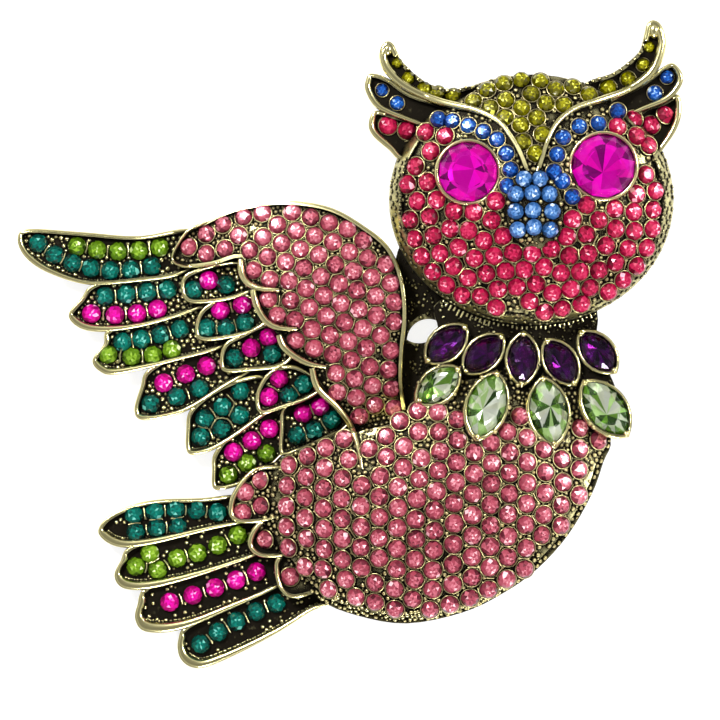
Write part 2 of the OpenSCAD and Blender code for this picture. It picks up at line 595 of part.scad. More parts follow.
// Close rows of stones over the shoulder, kept clear of its edge and of its crossing rims.
function edge_gap(p, line) = min([for (i = [0:len(line) - 2])
    let (a = line[i], d = line[i + 1] - a, t = max(0, min(1, (p - a) * d / (d * d)))) norm(p - a - d * t)]);
function inside(p, line) = len([for (i = [0:len(line) - 1])
    let (a = line[i], b = line[(i + 1) % len(line)], d = b - a)
    if ((a[1] > p[1]) != (b[1] > p[1]) && p[0] < a[0] + d[0] * (p[1] - a[1]) / d[1]) 1]) % 2 == 1;
shoulder_line = smooth(shoulder_outline);
shoulder_loop = concat(shoulder_line, [shoulder_line[0]]);
body_line = smooth(body_outline);
body_loop = concat(body_line, [body_line[0]]);
rim_lines = [for (r = shoulder_rims) open_curve([for (p = r) wing_at(p)])];
pitch = stone_d + stone_gap;
field_turn = -20;
field_reach = 12;
function field_place(i, j) = let (x = (i + (abs(j) % 2) / 2) * pitch, y = j * pitch * sqrt(3) / 2)
    shoulder_mid + [x * cos(field_turn) - y * sin(field_turn), x * sin(field_turn) + y * cos(field_turn)];
edge_room = stone_r + rim_w + 2 * stone_clear;
rim_room = stone_r + rim_w / 2 + 2 * stone_clear;
shoulder_places = [for (j = [-field_reach:field_reach], i = [-field_reach:field_reach])
    let (p = field_place(i, j))
    if (inside(p, shoulder_line) && edge_gap(p, shoulder_loop) > edge_room
        && min([for (l = rim_lines) edge_gap(p, l)]) > rim_room
        && !inside(p, body_line) && edge_gap(p, body_loop) > rim_room
        && dome_z(p, shoulder_mid, shoulder_ball_r, shoulder_top) > covert_floor) p];
module shoulder_stones() color("palevioletred") small_stones([for (p = shoulder_places)
    let (out = dome_out(p, shoulder_mid, shoulder_ball_r))
    [concat(p, [dome_z(p, shoulder_mid, shoulder_ball_r, shoulder_top)]) + out * stone_clear, out]],
    stone_r, stone_h);

casting();
pin_back();
cut_eye(eye_left_seat, eye_left_d);  // eye_stone_left
cut_eye(eye_right_seat, eye_right_d);  // eye_stone_right
collar_purple(0);  // collar_purple_1
collar_purple(1);  // collar_purple_2
collar_purple(2);  // collar_purple_3
collar_purple(3);  // collar_purple_4
collar_purple(4);  // collar_purple_5
collar_green(0);  // collar_green_1
collar_green(1);  // collar_green_2
collar_green(2);  // collar_green_3
collar_green(3);  // collar_green_4
wing_field(wing_rows_teal, short_rows_teal, "teal");  // wing_stones_teal
wing_field(wing_rows_green, [], "yellowgreen");  // wing_stones_green
wing_field(wing_rows_fuchsia, short_rows_fuchsia, "magenta");  // wing_stones_fuchsia
shoulder_stones();
tail_field(tail_rows_teal, "teal");  // tail_stones_teal
tail_field(tail_rows_green, "yellowgreen");  // tail_stones_green
tail_field(tail_rows_fuchsia, "magenta");  // tail_stones_fuchsia
brow_stones();
beak_stones();
crown_stones();
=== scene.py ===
# %% [markdown]
# An owl brooch of cast metal, set with foil-backed glass stones.
# The solids of the brooch come in as a fixed frame: flat feather plates with square rims, three smooth
# domes, settings and stones. This script dresses them. It rounds the rims, fills the domes with close
# fields of stones, lays grain and claws on the metal and gives every surface its finish.
# Everything is in metres, with the brooch on its flat back and +Z towards the viewer.

# %% Load the frame
import json
import math

import bmesh
import bpy
import numpy as np
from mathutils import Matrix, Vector, kdtree
from mathutils.bvhtree import BVHTree

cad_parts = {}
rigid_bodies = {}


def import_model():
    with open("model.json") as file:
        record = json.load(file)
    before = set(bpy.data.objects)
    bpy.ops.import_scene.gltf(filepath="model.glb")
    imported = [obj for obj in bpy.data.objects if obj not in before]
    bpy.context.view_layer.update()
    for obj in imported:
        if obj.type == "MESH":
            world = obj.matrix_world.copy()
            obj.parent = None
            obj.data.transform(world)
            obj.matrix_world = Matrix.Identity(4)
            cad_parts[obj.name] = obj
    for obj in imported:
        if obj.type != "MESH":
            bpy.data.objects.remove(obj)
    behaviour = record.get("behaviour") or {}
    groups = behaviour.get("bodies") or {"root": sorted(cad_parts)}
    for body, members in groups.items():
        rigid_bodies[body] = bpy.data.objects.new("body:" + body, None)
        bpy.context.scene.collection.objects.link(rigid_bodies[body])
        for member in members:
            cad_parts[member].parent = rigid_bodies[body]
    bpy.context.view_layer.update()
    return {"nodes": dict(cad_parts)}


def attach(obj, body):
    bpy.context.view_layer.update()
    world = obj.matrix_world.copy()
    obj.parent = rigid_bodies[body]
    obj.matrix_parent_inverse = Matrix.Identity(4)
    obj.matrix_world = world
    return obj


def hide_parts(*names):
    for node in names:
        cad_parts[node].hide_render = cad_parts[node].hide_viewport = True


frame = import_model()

MM = 0.001
print("solids:", sorted(frame["nodes"]))

# %% [markdown]
# The brooch was drawn on a chart whose unit is a tenth of a millimetre, x to the right and y down, the
# same chart that its solids use. One function takes a chart place to metres. Two more draw smooth curves
# through a few places, so that an outline needs only the points that its shape needs.

# %% From the chart to metres
CHART_MID = np.array([349.25, 345.3])
CHART_UNIT = 0.1 * MM


def place(p):
    return np.array([p[0] - CHART_MID[0], CHART_MID[1] - p[1]]) * CHART_UNIT


def places_at(chart):
    return np.array([place(p) for p in chart])


def curve_point(a, b, c, d, t):
    return 0.5 * (2 * b + (c - a) * t + (2 * a - 5 * b + 4 * c - d) * t * t
                  + (3 * b - a - 3 * c + d) * t ** 3)


def smooth_loop(chart, steps=8):
    p = places_at(chart)
    n = len(p)
    return np.array([curve_point(p[i - 1], p[i], p[(i + 1) % n], p[(i + 2) % n], s / steps)
                     for i in range(n) for s in range(steps)])


def smooth_line(chart, steps=8):
    p = places_at(chart)
    last = len(p) - 1
    curve = [curve_point(p[max(i - 1, 0)], p[i], p[i + 1], p[min(i + 2, last)], s / steps)
             for i in range(last) for s in range(steps)]
    return np.array(curve + [p[last]])


def inside(points, loop):
    """Says for each point whether it lies inside a closed loop."""
    a = loop[None, :, :]
    b = np.roll(loop, -1, axis=0)[None, :, :]
    x = points[:, 0][:, None]
    y = points[:, 1][:, None]
    crosses = (a[..., 1] > y) != (b[..., 1] > y)
    rise = np.where(np.abs(b[..., 1] - a[..., 1]) < 1e-12, 1e-12, b[..., 1] - a[..., 1])
    left = x < a[..., 0] + (b[..., 0] - a[..., 0]) * (y - a[..., 1]) / rise
    return (crosses & left).sum(axis=1) % 2 == 1


def gap_to(points, line, closed=True):
    """The distance from each point to a loop or a line."""
    ends = np.roll(line, -1, axis=0) if closed else line[1:]
    starts = line if closed else line[:-1]
    run = ends - starts
    d = points[:, None, :] - starts[None]
    t = np.clip((d * run).sum(-1) / np.maximum((run * run).sum(-1), 1e-18), 0, 1)
    return np.sqrt(((d - run * t[..., None]) ** 2).sum(-1)).min(axis=1)


def ellipse(mid, half_w, half_l, turn=0.0, sides=64):
    a = np.arange(sides) * 2 * math.pi / sides
    x = half_w * np.cos(a)
    y = half_l * np.sin(a)
    c, s = math.cos(turn), math.sin(turn)
    return mid + np.stack([x * c - y * s, x * s + y * c], axis=1)


# %% [markdown]
# Three domes carry the close fields of stones. Each is part of a ball, so its height and its outward
# direction at any place follow from the ball's middle, radius and top.

# %% Domes
class Dome:
    """Part of a ball, given by its middle on the chart and its radius and top in mm."""

    def __init__(self, mid, radius, top):
        self.mid = place(mid)
        self.radius = radius * MM
        self.top = top * MM

    def height(self, p):
        q = p - self.mid
        flat = (q * q).sum(-1)
        return self.top - self.radius + np.sqrt(np.maximum(self.radius ** 2 - flat, 0))

    def out(self, p):
        q = p - self.mid
        up = np.sqrt(np.maximum(self.radius ** 2 - (q * q).sum(-1), 0))
        return np.concatenate([q, up[..., None]], axis=-1) / self.radius


body_dome = Dome((445, 500), 31, 8.6)
head_dome = Dome((531, 200), 27, 10.4)
shoulder_dome = Dome((330, 295), 34, 5.6)
HEAD_HALF_W = 14.2 * MM
HEAD_HALF_L = 12.5 * MM
print("head dome at its edge, mm:", round(float(head_dome.height(place((400, 200)))) / MM, 2))

# %% [markdown]
# Everything else is flat. These are the levels of the flat floors, from the feathers at the bottom to the
# tufts of the head, and the height of the rims that stand on them.

# %% Levels
PLATE = 1.7 * MM
SHORT_FLOOR = 2.5 * MM
LOBE_FLOOR = 2.8 * MM
NECK_TOP = 5.0 * MM
TUFT_FLOOR = 6.1 * MM
BROW_FLOOR = 5.8 * MM
CHEEK_FLOOR = 5.5 * MM
HEAD_WALL_TOP = 5.4 * MM
RIM_H = 0.75 * MM
HEAD_EDGE = 1.15 * MM
print("levels, mm:", [round(z / MM, 1) for z in (PLATE, SHORT_FLOOR, LOBE_FLOOR, NECK_TOP, TUFT_FLOOR)])

# %% [markdown]
# The outlines of the wing. Feathers are listed from the top one down, because each lies over the next.
# The short ones lie on the long ones, and the shoulder lies on both.

# %% Outlines of the wing
long_feathers = [smooth_loop(p) for p in [
    [(17, 238), (28, 229), (81, 232), (138, 236), (191, 229), (215, 250),
     (180, 274), (138, 281), (88, 284), (47, 272), (24, 256)],
    [(68, 316), (81, 298), (92, 285), (130, 272), (200, 262), (218, 295),
     (184, 314), (127, 329), (86, 330)],
    [(92, 360), (103, 345), (112, 327), (184, 305), (215, 315), (228, 343),
     (174, 361), (117, 374), (99, 371)],
    [(134, 411), (140, 388), (150, 368), (200, 345), (245, 350), (252, 368),
     (224, 387), (183, 412), (144, 420)],
    [(281, 455), (280, 430), (283, 408), (305, 396), (338, 388), (356, 410),
     (346, 428), (325, 441), (302, 450)],
    [(187, 452), (186, 431), (191, 409), (222, 386), (262, 376), (275, 403),
     (252, 424), (222, 445), (200, 454)],
    [(213, 488), (212, 471), (215, 452), (242, 421), (275, 408), (294, 436),
     (278, 460), (251, 480), (226, 489)]]]
short_feathers = [smooth_loop(p) for p in [
    [(181, 290), (185, 275), (208, 266), (240, 262), (258, 283), (243, 295), (214, 302), (189, 302)],
    [(195, 331), (200, 312), (217, 300), (245, 294), (272, 312), (256, 330), (223, 339), (201, 340)],
    [(220, 364), (224, 345), (242, 334), (270, 324), (294, 348), (282, 366), (247, 371), (226, 372)],
    [(256, 406), (258, 388), (272, 370), (296, 366), (322, 384), (310, 398), (283, 408), (263, 414)]]]
shoulder = smooth_loop([
    (171, 257), (185, 232), (203, 222), (232, 209), (267, 202), (300, 202), (333, 209),
    (363, 226), (388, 247), (402, 278), (406, 313), (403, 348), (402, 382), (406, 415),
    (408, 455), (374, 462), (360, 440), (346, 418), (326, 396), (314, 378), (306, 364),
    (290, 352), (279, 336), (264, 318), (254, 300), (244, 278), (240, 258), (212, 265),
    (183, 267)])
shoulder_rims = [smooth_line(p) for p in [
    [(241, 260), (242, 274), (249, 284), (262, 289), (279, 290)],
    [(253, 290), (257, 306), (266, 321), (279, 328), (297, 329)],
    [(279, 335), (284, 347), (296, 357), (310, 364), (326, 367)],
    [(312, 368), (318, 388), (338, 408), (351, 427), (358, 446), (362, 468)]]]
print("feathers of the wing:", len(long_feathers), len(short_feathers))

# %% [markdown]
# The tail has four feathers, with three lobes between them and the body.

# %% Outlines of the tail and the body
tail_feathers = [smooth_loop(p) for p in [
    [(98, 534), (107, 518), (134, 505), (162, 500), (200, 499), (250, 496), (270, 515),
     (210, 530), (150, 545), (117, 547)],
    [(114, 577), (120, 562), (132, 546), (190, 528), (255, 515), (272, 545),
     (220, 569), (156, 588), (124, 589)],
    [(135, 621), (137, 606), (147, 587), (200, 568), (270, 545), (295, 575),
     (220, 614), (176, 631), (145, 632)],
    [(179, 657), (178, 641), (187, 626), (230, 605), (300, 570), (345, 597),
     (312, 611), (280, 631.5), (241, 652.5), (206, 667.5), (189, 667)]]]
tail_lobes = [smooth_loop(p) for p in [
    [(229, 514), (234, 491), (256, 468), (290, 470), (302, 498), (275, 518), (243, 523)],
    [(248, 545), (256, 525), (284, 507), (320, 500), (332, 530), (294, 553), (262, 557)],
    [(275, 573), (279, 556), (310, 538), (350, 540), (362, 575), (330, 588), (296, 598), (281, 591)]]]
body = smooth_loop([
    (248, 482), (283, 457), (345, 428), (402, 412), (422, 384), (470, 372), (540, 366),
    (590, 392), (611, 438), (604, 462), (592, 495), (568, 536), (537, 570), (503, 594),
    (463, 613), (407, 624), (357, 616), (318, 599), (284, 562), (254, 520)])
print("feathers and lobes of the tail:", len(tail_feathers), len(tail_lobes))

# %% [markdown]
# The head is an ellipse with three pairs of points beside it: the tufts, which end in the horns, then
# the lobes of the brows, then those of the cheeks. The left one of each pair comes first.

# %% Outlines of the head
tufts = [smooth_loop(p) for p in [
    [(388, 43), (383, 46), (380, 55), (387, 72), (405, 88), (440, 107), (475, 118), (500, 105),
     (475, 88), (450, 91), (425, 83), (404, 65), (397, 54), (393, 46)],
    [(652, 22), (646, 26), (643, 38), (637, 54), (612, 74), (585, 84), (575, 105), (600, 102),
     (628, 91), (651, 71), (661, 53), (663, 37), (659, 26)]]]
brow_lobes = [smooth_loop(p) for p in [
    [(371, 75), (366, 82), (366, 92), (376, 108), (400, 119), (440, 130), (450, 110),
     (410, 95), (388, 80)],
    [(672, 65), (681, 76), (679, 88), (667, 101), (645, 110), (615, 120), (605, 105),
     (640, 85), (660, 70)]]]
cheek_lobes = [smooth_loop(p) for p in [
    [(376, 112), (369, 124), (373, 136), (389, 150), (402, 160), (430, 150),
     (430, 125), (400, 118)],
    [(677, 96), (680, 112), (676, 128), (666, 144), (650, 160), (630, 140),
     (640, 112), (662, 103)]]]
brow_ridges = [smooth_line(p) for p in [
    [(385, 51), (383, 58), (388, 71), (405, 87), (440, 103), (475, 112), (497, 123), (511, 141),
     (519, 156), (526, 173)],
    [(657.5, 31), (660.5, 46), (651, 72), (628, 90), (600, 101), (574, 110), (556, 124), (546, 142),
     (541, 157), (535, 173)]]]
head_foot = ellipse(head_dome.mid, HEAD_HALF_W, HEAD_HALF_L, sides=96)
head_edge = ellipse(head_dome.mid, HEAD_HALF_W - HEAD_EDGE, HEAD_HALF_L - HEAD_EDGE, sides=96)
EYES = {"eye_stone_left": ((467, 174), 5.9 * MM), "eye_stone_right": ((601, 168), 6.3 * MM)}
crown = smooth_loop([(462, 108), (474, 92), (500, 79), (533, 74), (562, 78), (588, 88), (604, 100),
                     (572, 125), (495, 125)])
print("eyes, mm:", [round(d / MM, 1) for mid, d in EYES.values()])

# %% [markdown]
# The camera looks straight down at the brooch, as the photograph does, through a long lens, so the
# domes hardly lean. The floor is a plain pale sheet.

# %% Camera and floor
PHOTO_SIDE = 720
PHOTO_MID = place((PHOTO_SIDE / 2, PHOTO_SIDE / 2))
CAMERA_H = 0.6
STONE_LEVEL = 4 * MM
camera = bpy.data.objects.new("camera", bpy.data.cameras.new("camera"))
camera.location = (PHOTO_MID[0], PHOTO_MID[1], CAMERA_H)
camera.data.sensor_width = 36
camera.data.lens = camera.data.sensor_width * (CAMERA_H - STONE_LEVEL) / (PHOTO_SIDE * CHART_UNIT)
camera.data.clip_end = 5
bpy.context.scene.collection.objects.link(camera)
bpy.context.scene.camera = camera


def mesh_object(name, verts, faces, edges=()):
    mesh = bpy.data.meshes.new(name)
    mesh.from_pydata([tuple(map(float, v)) for v in verts], list(edges), [tuple(f) for f in faces])
    mesh.update()
    obj = bpy.data.objects.new(name, mesh)
    bpy.context.scene.collection.objects.link(obj)
    return obj


FLOOR_HALF = 0.6
corners = [(x * FLOOR_HALF, y * FLOOR_HALF, 0) for x, y in ((-1, -1), (1, -1), (1, 1), (-1, 1))]
floor = mesh_object("floor", corners, [(0, 1, 2, 3)])
print("camera lens, mm:", round(camera.data.lens, 1))

# %% [markdown]
# Light. Cut stones only sparkle when they have something to mirror, so the sky round the brooch is a
# bright tent with darker bands near the horizon, and three soft lamps make the glints.

# %% Light
def area_light(name, where, power, size):
    lamp = bpy.data.lights.new(name, "AREA")
    lamp.energy = power
    lamp.size = size
    obj = bpy.data.objects.new(name, lamp)
    obj.location = where
    obj.rotation_euler = (-Vector(where)).to_track_quat("-Z", "Y").to_euler()
    bpy.context.scene.collection.objects.link(obj)


def set_ramp(ramp, stops):
    """Gives a colour ramp its stops, each a position and a colour, from low to high."""
    elements = ramp.color_ramp.elements
    for element, (position, colour) in zip(elements, (stops[0], stops[-1])):
        element.position = position
        element.color = (*colour, 1)
    for position, colour in stops[1:-1]:
        elements.new(position).color = (*colour, 1)


area_light("key", (-0.25, 0.3, 0.5), power=4.6, size=0.11)
area_light("fill", (0.4, 0.1, 0.35), power=2.2, size=0.12)
area_light("low", (0.05, -0.45, 0.2), power=1.6, size=0.1)
world = bpy.data.worlds.new("studio")
bpy.context.scene.world = world
world.use_nodes = True
nodes = world.node_tree.nodes
links = world.node_tree.links
nodes.clear()
coords = nodes.new("ShaderNodeTexCoord")
split = nodes.new("ShaderNodeSeparateXYZ")
ramp = nodes.new("ShaderNodeValToRGB")
glow = nodes.new("ShaderNodeBackground")
out = nodes.new("ShaderNodeOutputWorld")
links.new(coords.outputs["Generated"], split.inputs[0])
links.new(split.outputs["Z"], ramp.inputs[0])
links.new(ramp.outputs[0], glow.inputs["Color"])
links.new(glow.outputs[0], out.inputs["Surface"])
bands = [(position, (grey, grey, grey * 1.02))
         for position, grey in ((0.22, 0.1), (0.4, 1.0), (0.52, 0.3), (0.66, 1.0), (0.85, 0.35))]
set_ramp(ramp, [(0.0, (0.25, 0.25, 0.26)), *bands, (1.0, (0.3, 0.3, 0.3))])
glow.inputs["Strength"].default_value = 0.8
bpy.context.scene.view_settings.view_transform = "Standard"
print("lamps:", len(bpy.data.lights), "bands of the sky:", len(bands))

# %% [markdown]
# A material is a small tree of nodes round one shader. This helper makes the nodes, writes numbers and
# colours straight into the sockets that need them, and joins the rest.

# %% Building a material
class Shading:
    """A material under construction: makes its nodes, gives their sockets values and joins them."""

    def __init__(self, name):
        self.material = bpy.data.materials.new(name)
        self.material.use_nodes = True
        self.nodes = self.material.node_tree.nodes
        self.join = self.material.node_tree.links.new
        self.shader = self.nodes["Principled BSDF"]

    def add(self, kind, **entries):
        """A new node. Each entry is a number or colour, or the socket that feeds it."""
        node = self.nodes.new("ShaderNode" + kind)
        self.feed(node, entries)
        return node

    def feed(self, node, entries):
        for name, value in entries.items():
            entry = node.inputs[name.replace("_", " ")]
            if isinstance(value, bpy.types.NodeSocket):
                self.join(value, entry)
            else:
                entry.default_value = value

    def set(self, **entries):
        """Sets the main shader."""
        self.feed(self.shader, entries)

    def sum(self, a, b, share=None):
        """a + b, or a times a share plus b."""
        node = self.nodes.new("ShaderNodeMath")
        node.operation = "ADD" if share is None else "MULTIPLY_ADD"
        self.join(a, node.inputs[0])
        self.join(b, node.inputs[1 if share is None else 2])
        if share is not None:
            node.inputs[1].default_value = share
        return node.outputs[0]

    def attribute(self, name):
        node = self.nodes.new("ShaderNodeAttribute")
        node.attribute_name = name
        return node.outputs["Fac"]


# %% [markdown]
# Finishes. The metal is plated a pale antique gold and then darkened: the dark wash stays in the
# recesses and is rubbed off the edges. Ambient occlusion finds the recesses, whatever the camera does.

# %% Metal
def metal(name, bright, low, high, roughness, grain, bump, dark=(0.012, 0.010, 0.007)):
    """Plated metal. Where little sky reaches it, below the low share, it keeps the dark wash."""
    made = Shading(name)
    where = made.nodes.new("ShaderNodeTexCoord").outputs["Object"]
    hollow = made.add("AmbientOcclusion", Distance=1.0 * MM)
    hollow.samples = 6
    speckle = made.add("TexNoise", Vector=where, Scale=grain, Detail=3)
    spread = made.sum(speckle.outputs[0], hollow.outputs["AO"], 0.35)
    wash = made.add("MapRange", Value=spread, From_Min=low, From_Max=high)
    wash.interpolation_type = "SMOOTHSTEP"
    tint = made.nodes.new("ShaderNodeMix")
    tint.data_type = "RGBA"
    made.feed(tint, {"A": (*dark, 1), "B": (*bright, 1), "Factor": wash.outputs[0]})
    rough = made.add("MapRange", Value=wash.outputs[0], To_Min=0.55, To_Max=roughness)
    relief = made.add("Bump", Strength=bump, Distance=0.05 * MM, Height=speckle.outputs[0])
    made.set(Base_Color=tint.outputs["Result"], Roughness=rough.outputs[0], Metallic=1.0,
             Normal=relief.outputs[0])
    return made.material


GOLD = (0.78, 0.71, 0.35)
DULL = (0.57, 0.49, 0.23)
STEEL = (0.62, 0.57, 0.38)
cast_gold = metal("antique gold", GOLD, low=0.98, high=1.24, roughness=0.27, grain=900, bump=0.35)
bright_gold = metal("rubbed gold", GOLD, low=0.52, high=0.86, roughness=0.2, grain=700, bump=0.12)
dark_ground = metal("dark ground", GOLD, low=1.2, high=1.42, roughness=0.4, grain=1600, bump=0.5)
grip_gold = metal("gold between stones", DULL, low=0.62, high=0.98, roughness=0.28, grain=900, bump=0.2)
pin_metal = metal("plated pin", STEEL, low=0.3, high=0.7, roughness=0.25, grain=500, bump=0.1)
pale = Shading("pale floor")
pale.set(Base_Color=(0.3, 0.3, 0.3, 1), Roughness=0.7, Emission_Color=(1, 1, 1, 1), Emission_Strength=0.86)
floor.data.materials.append(pale.material)
print("metals:", [m.name for m in (cast_gold, bright_gold, dark_ground, grip_gold, pin_metal)])

# %% [markdown]
# Small stones. Each is a cut glass button on coloured foil, drawn opaque, so its play of light is painted.
# What the eye sees is a dark ring of deep facets, a lighter star in the middle and one or two bright
# glints. Every facet therefore carries a number, its painted shade, and the material turns the shade into
# deep colour (painted shade), full colour or light colour (painted light) under a clear, glossy skin. Each
# stone also has its own tone, so no two neighbours match. A facet's spark moves its colour up or down a
# little by chance, and the few highest sparks get a painted glint.

# %% Stone colours
FACET_SPREAD = 0.18
# Sparks above this are lifted by PAINTED_FLASH towards the painted glint colour.
PAINTED_FLASH_FROM = 0.93
PAINTED_FLASH = 0.5


def stone_material(name, painted_shade_colour, full, light, painted_glint_colour):
    made = Shading(name)
    shade, tone, spark = (made.attribute(n) for n in ("shade", "tone", "spark"))
    toned = made.sum(tone, shade, 0.12)
    facet = made.add("MapRange", Value=spark, To_Min=-FACET_SPREAD, To_Max=FACET_SPREAD)
    # A painted glint: the highest sparks are lifted towards the glint colour.
    flash = made.add("MapRange", Value=spark, From_Min=PAINTED_FLASH_FROM, To_Max=PAINTED_FLASH)
    total = made.sum(toned, made.sum(facet.outputs[0], flash.outputs[0]))
    ramp = made.nodes.new("ShaderNodeValToRGB")
    made.join(total, ramp.inputs[0])
    # From painted shade through the stone's own colour and painted light to a painted glint.
    set_ramp(ramp, [(0.12, painted_shade_colour), (0.5, full), (0.8, light), (1.0, painted_glint_colour)])
    made.set(Base_Color=ramp.outputs[0], Metallic=0.2, Roughness=0.25, IOR=1.55, Specular_IOR_Level=0.3,
             Coat_Weight=0.22, Coat_Roughness=0.03)
    return made.material


# Each glass: painted shade, its own colour, painted light and a painted glint.
rose = stone_material("rose glass", (0.065, 0.007, 0.014), (0.34, 0.053, 0.083), (0.54, 0.16, 0.205),
                      (1, 0.62, 0.66))
crimson = stone_material("crimson glass", (0.075, 0.0, 0.008), (0.37, 0.004, 0.045), (0.56, 0.03, 0.105),
                         (1, 0.45, 0.55))
fuchsia = stone_material("fuchsia glass", (0.13, 0.0, 0.045), (0.48, 0.0, 0.19), (0.74, 0.004, 0.37),
                         (1, 0.45, 0.80))
teal = stone_material("teal glass", (0.0, 0.010, 0.009), (0.0, 0.085, 0.064), (0.0, 0.17, 0.125),
                      (0.15, 0.52, 0.44))
leaf = stone_material("leaf glass", (0.012, 0.03, 0.0), (0.10, 0.21, 0.006), (0.25, 0.42, 0.03),
                      (0.85, 0.95, 0.5))
blue = stone_material("blue glass", (0.002, 0.008, 0.05), (0.005, 0.05, 0.26), (0.015, 0.13, 0.50),
                      (0.45, 0.66, 1))
sky = stone_material("sky glass", (0.01, 0.04, 0.10), (0.04, 0.14, 0.38), (0.20, 0.36, 0.62),
                     (0.75, 0.85, 0.95))
olive = stone_material("olive glass", (0.02, 0.018, 0.0), (0.13, 0.118, 0.0), (0.32, 0.30, 0.0),
                       (0.85, 0.85, 0.12))

# %% [markdown]
# The cut of a small stone: a girdle of sixteen sides, eight kites above it and a flat table. The table
# is one plane, but it is divided into a star, because there the eye sees the facets of the foil below.
# Each face's shade is painted light and shade: dark round the girdle, lighter on the kites, table and
# star.

# %% The cut
def ring(r, z, n, turn=0.0):
    a = (np.arange(n) + turn) * 2 * math.pi / n
    return np.stack([r * np.cos(a), r * np.sin(a), np.full(n, z)], axis=1)


def round_cut():
    """A stone of radius 1 and height 1: its corners, its faces and each face's painted shade."""
    rows = [ring(0.80, 0.0, 8, 0.5), ring(1.0, 0.30, 16), ring(0.84, 0.66, 8, 0.5), ring(0.58, 0.93, 8),
            ring(0.27, 0.95, 8, 0.5), np.array([[0, 0, 0.95]])]
    start = np.cumsum([0] + [len(r) for r in rows])
    faces = [[int(start[0]) + i for i in range(7, -1, -1)]]
    shades = [0.0]

    def add(face, shade):
        faces.append([int(i) for i in face])
        shades.append(shade)

    for i in range(8):
        j = (i + 1) % 8
        low, mid, kite, table, star = (start[k] for k in range(5))
        # The shades below are painted light and shade.
        add((low + i, low + j, mid + (2 * j) % 16), 0.0)
        add((low + i, mid + (2 * j) % 16, mid + 2 * i + 1), 0.0)
        add((low + i, mid + 2 * i + 1, mid + 2 * i), 0.0)
        add((mid + 2 * i, mid + 2 * i + 1, kite + i), (0.26, 0.34)[i % 2])
        add((mid + 2 * i + 1, mid + (2 * j) % 16, kite + i), (0.32, 0.24)[i % 2])
        add((kite + i, mid + (2 * j) % 16, kite + j, table + j), (0.50, 0.30, 0.42, 0.34)[i % 4])
        add((table + i, kite + i, table + j), (0.40, 0.56)[i % 2])
        add((table + i, table + j, star + i), (0.72, 0.48, 0.58, 0.44)[(3 * i) % 4])
        add((star + i, table + j, star + j), (0.48, 0.70)[i % 2])
        add((star + i, star + j, start[5]), (0.60, 0.78, 0.50, 0.66)[i % 4])
    return np.concatenate(rows), faces, shades


def cut_object(name, corners, faces, shades):
    obj = mesh_object(name, corners, faces)
    layer = obj.data.attributes.new("shade", "FLOAT", "FACE")
    layer.data.foreach_set("value", shades)
    return obj


stone_cut = cut_object("round_cut", *round_cut())
print("facets of a small stone:", len(stone_cut.data.polygons))

# %% [markdown]
# Geometry Nodes do the repeats. A tree has named inputs, and it reads what the source mesh says about
# each of its points, such as the size.

# %% Inputs and attributes of a tree
def socket(tree, name, kind, default=None, inward=True):
    item = tree.interface.new_socket(name=name, in_out="INPUT" if inward else "OUTPUT", socket_type=kind)
    if default is not None:
        item.default_value = default
    return item


def named(tree, name, kind):
    node = tree.nodes.new("GeometryNodeInputNamedAttribute")
    node.data_type = kind
    node.inputs["Name"].default_value = name
    return node.outputs["Attribute"]


# %% [markdown]
# The first tree sets stones. Its source is a mesh of bare points, each with an outward direction and a
# size. Every point gets a copy of the cut, stood on its direction, turned by chance about its own axis
# and given a tone by chance, and every facet gets a spark of its own. The same tree sets claws, rings and
# beads.

# %% A tree that sets pieces on points
def setting_tree():
    tree = bpy.data.node_groups.new("set on points", "GeometryNodeTree")
    socket(tree, "Geometry", "NodeSocketGeometry")
    socket(tree, "Piece", "NodeSocketObject")
    socket(tree, "Seed", "NodeSocketInt", 1)
    socket(tree, "Finish", "NodeSocketMaterial")
    socket(tree, "Geometry", "NodeSocketGeometry", inward=False)
    new = tree.nodes.new
    link = tree.links.new
    enter, leave = new("NodeGroupInput"), new("NodeGroupOutput")

    def chance(low, high):
        node = new("FunctionNodeRandomValue")
        node.data_type = "FLOAT"
        node.inputs[2].default_value = low
        node.inputs[3].default_value = high
        link(enter.outputs["Seed"], node.inputs["Seed"])
        return node.outputs[1]

    def stored(geometry, name, domain, value):
        node = new("GeometryNodeStoreNamedAttribute")
        node.data_type = "FLOAT"
        node.domain = domain
        node.inputs["Name"].default_value = name
        link(geometry, node.inputs["Geometry"])
        link(value, node.inputs["Value"])
        return node.outputs[0]

    piece = new("GeometryNodeObjectInfo")
    piece.transform_space = "ORIGINAL"
    link(enter.outputs["Piece"], piece.inputs["Object"])
    stand = new("FunctionNodeAlignRotationToVector")
    stand.axis = "Z"
    link(named(tree, "out", "FLOAT_VECTOR"), stand.inputs["Vector"])
    spin = new("ShaderNodeCombineXYZ")
    link(chance(0, 2 * math.pi), spin.inputs["Z"])
    turned = new("FunctionNodeRotateRotation")
    turned.rotation_space = "LOCAL"
    link(stand.outputs[0], turned.inputs["Rotation"])
    link(spin.outputs[0], turned.inputs["Rotate By"])
    copies = new("GeometryNodeInstanceOnPoints")
    link(enter.outputs["Geometry"], copies.inputs["Points"])
    link(piece.outputs["Geometry"], copies.inputs["Instance"])
    link(turned.outputs[0], copies.inputs["Rotation"])
    link(named(tree, "size", "FLOAT"), copies.inputs["Scale"])
    real = new("GeometryNodeRealizeInstances")
    link(stored(copies.outputs[0], "tone", "INSTANCE", chance(-1, 1)), real.inputs[0])
    finish = new("GeometryNodeSetMaterial")
    link(stored(real.outputs[0], "spark", "FACE", chance(0, 1)), finish.inputs["Geometry"])
    link(enter.outputs["Finish"], finish.inputs["Material"])
    link(finish.outputs[0], leave.inputs[0])
    return tree


# %% [markdown]
# A second tree sweeps a round wire along lines. Every point of a line carries the wire's half thickness
# there, so a wire can thin out towards its end.

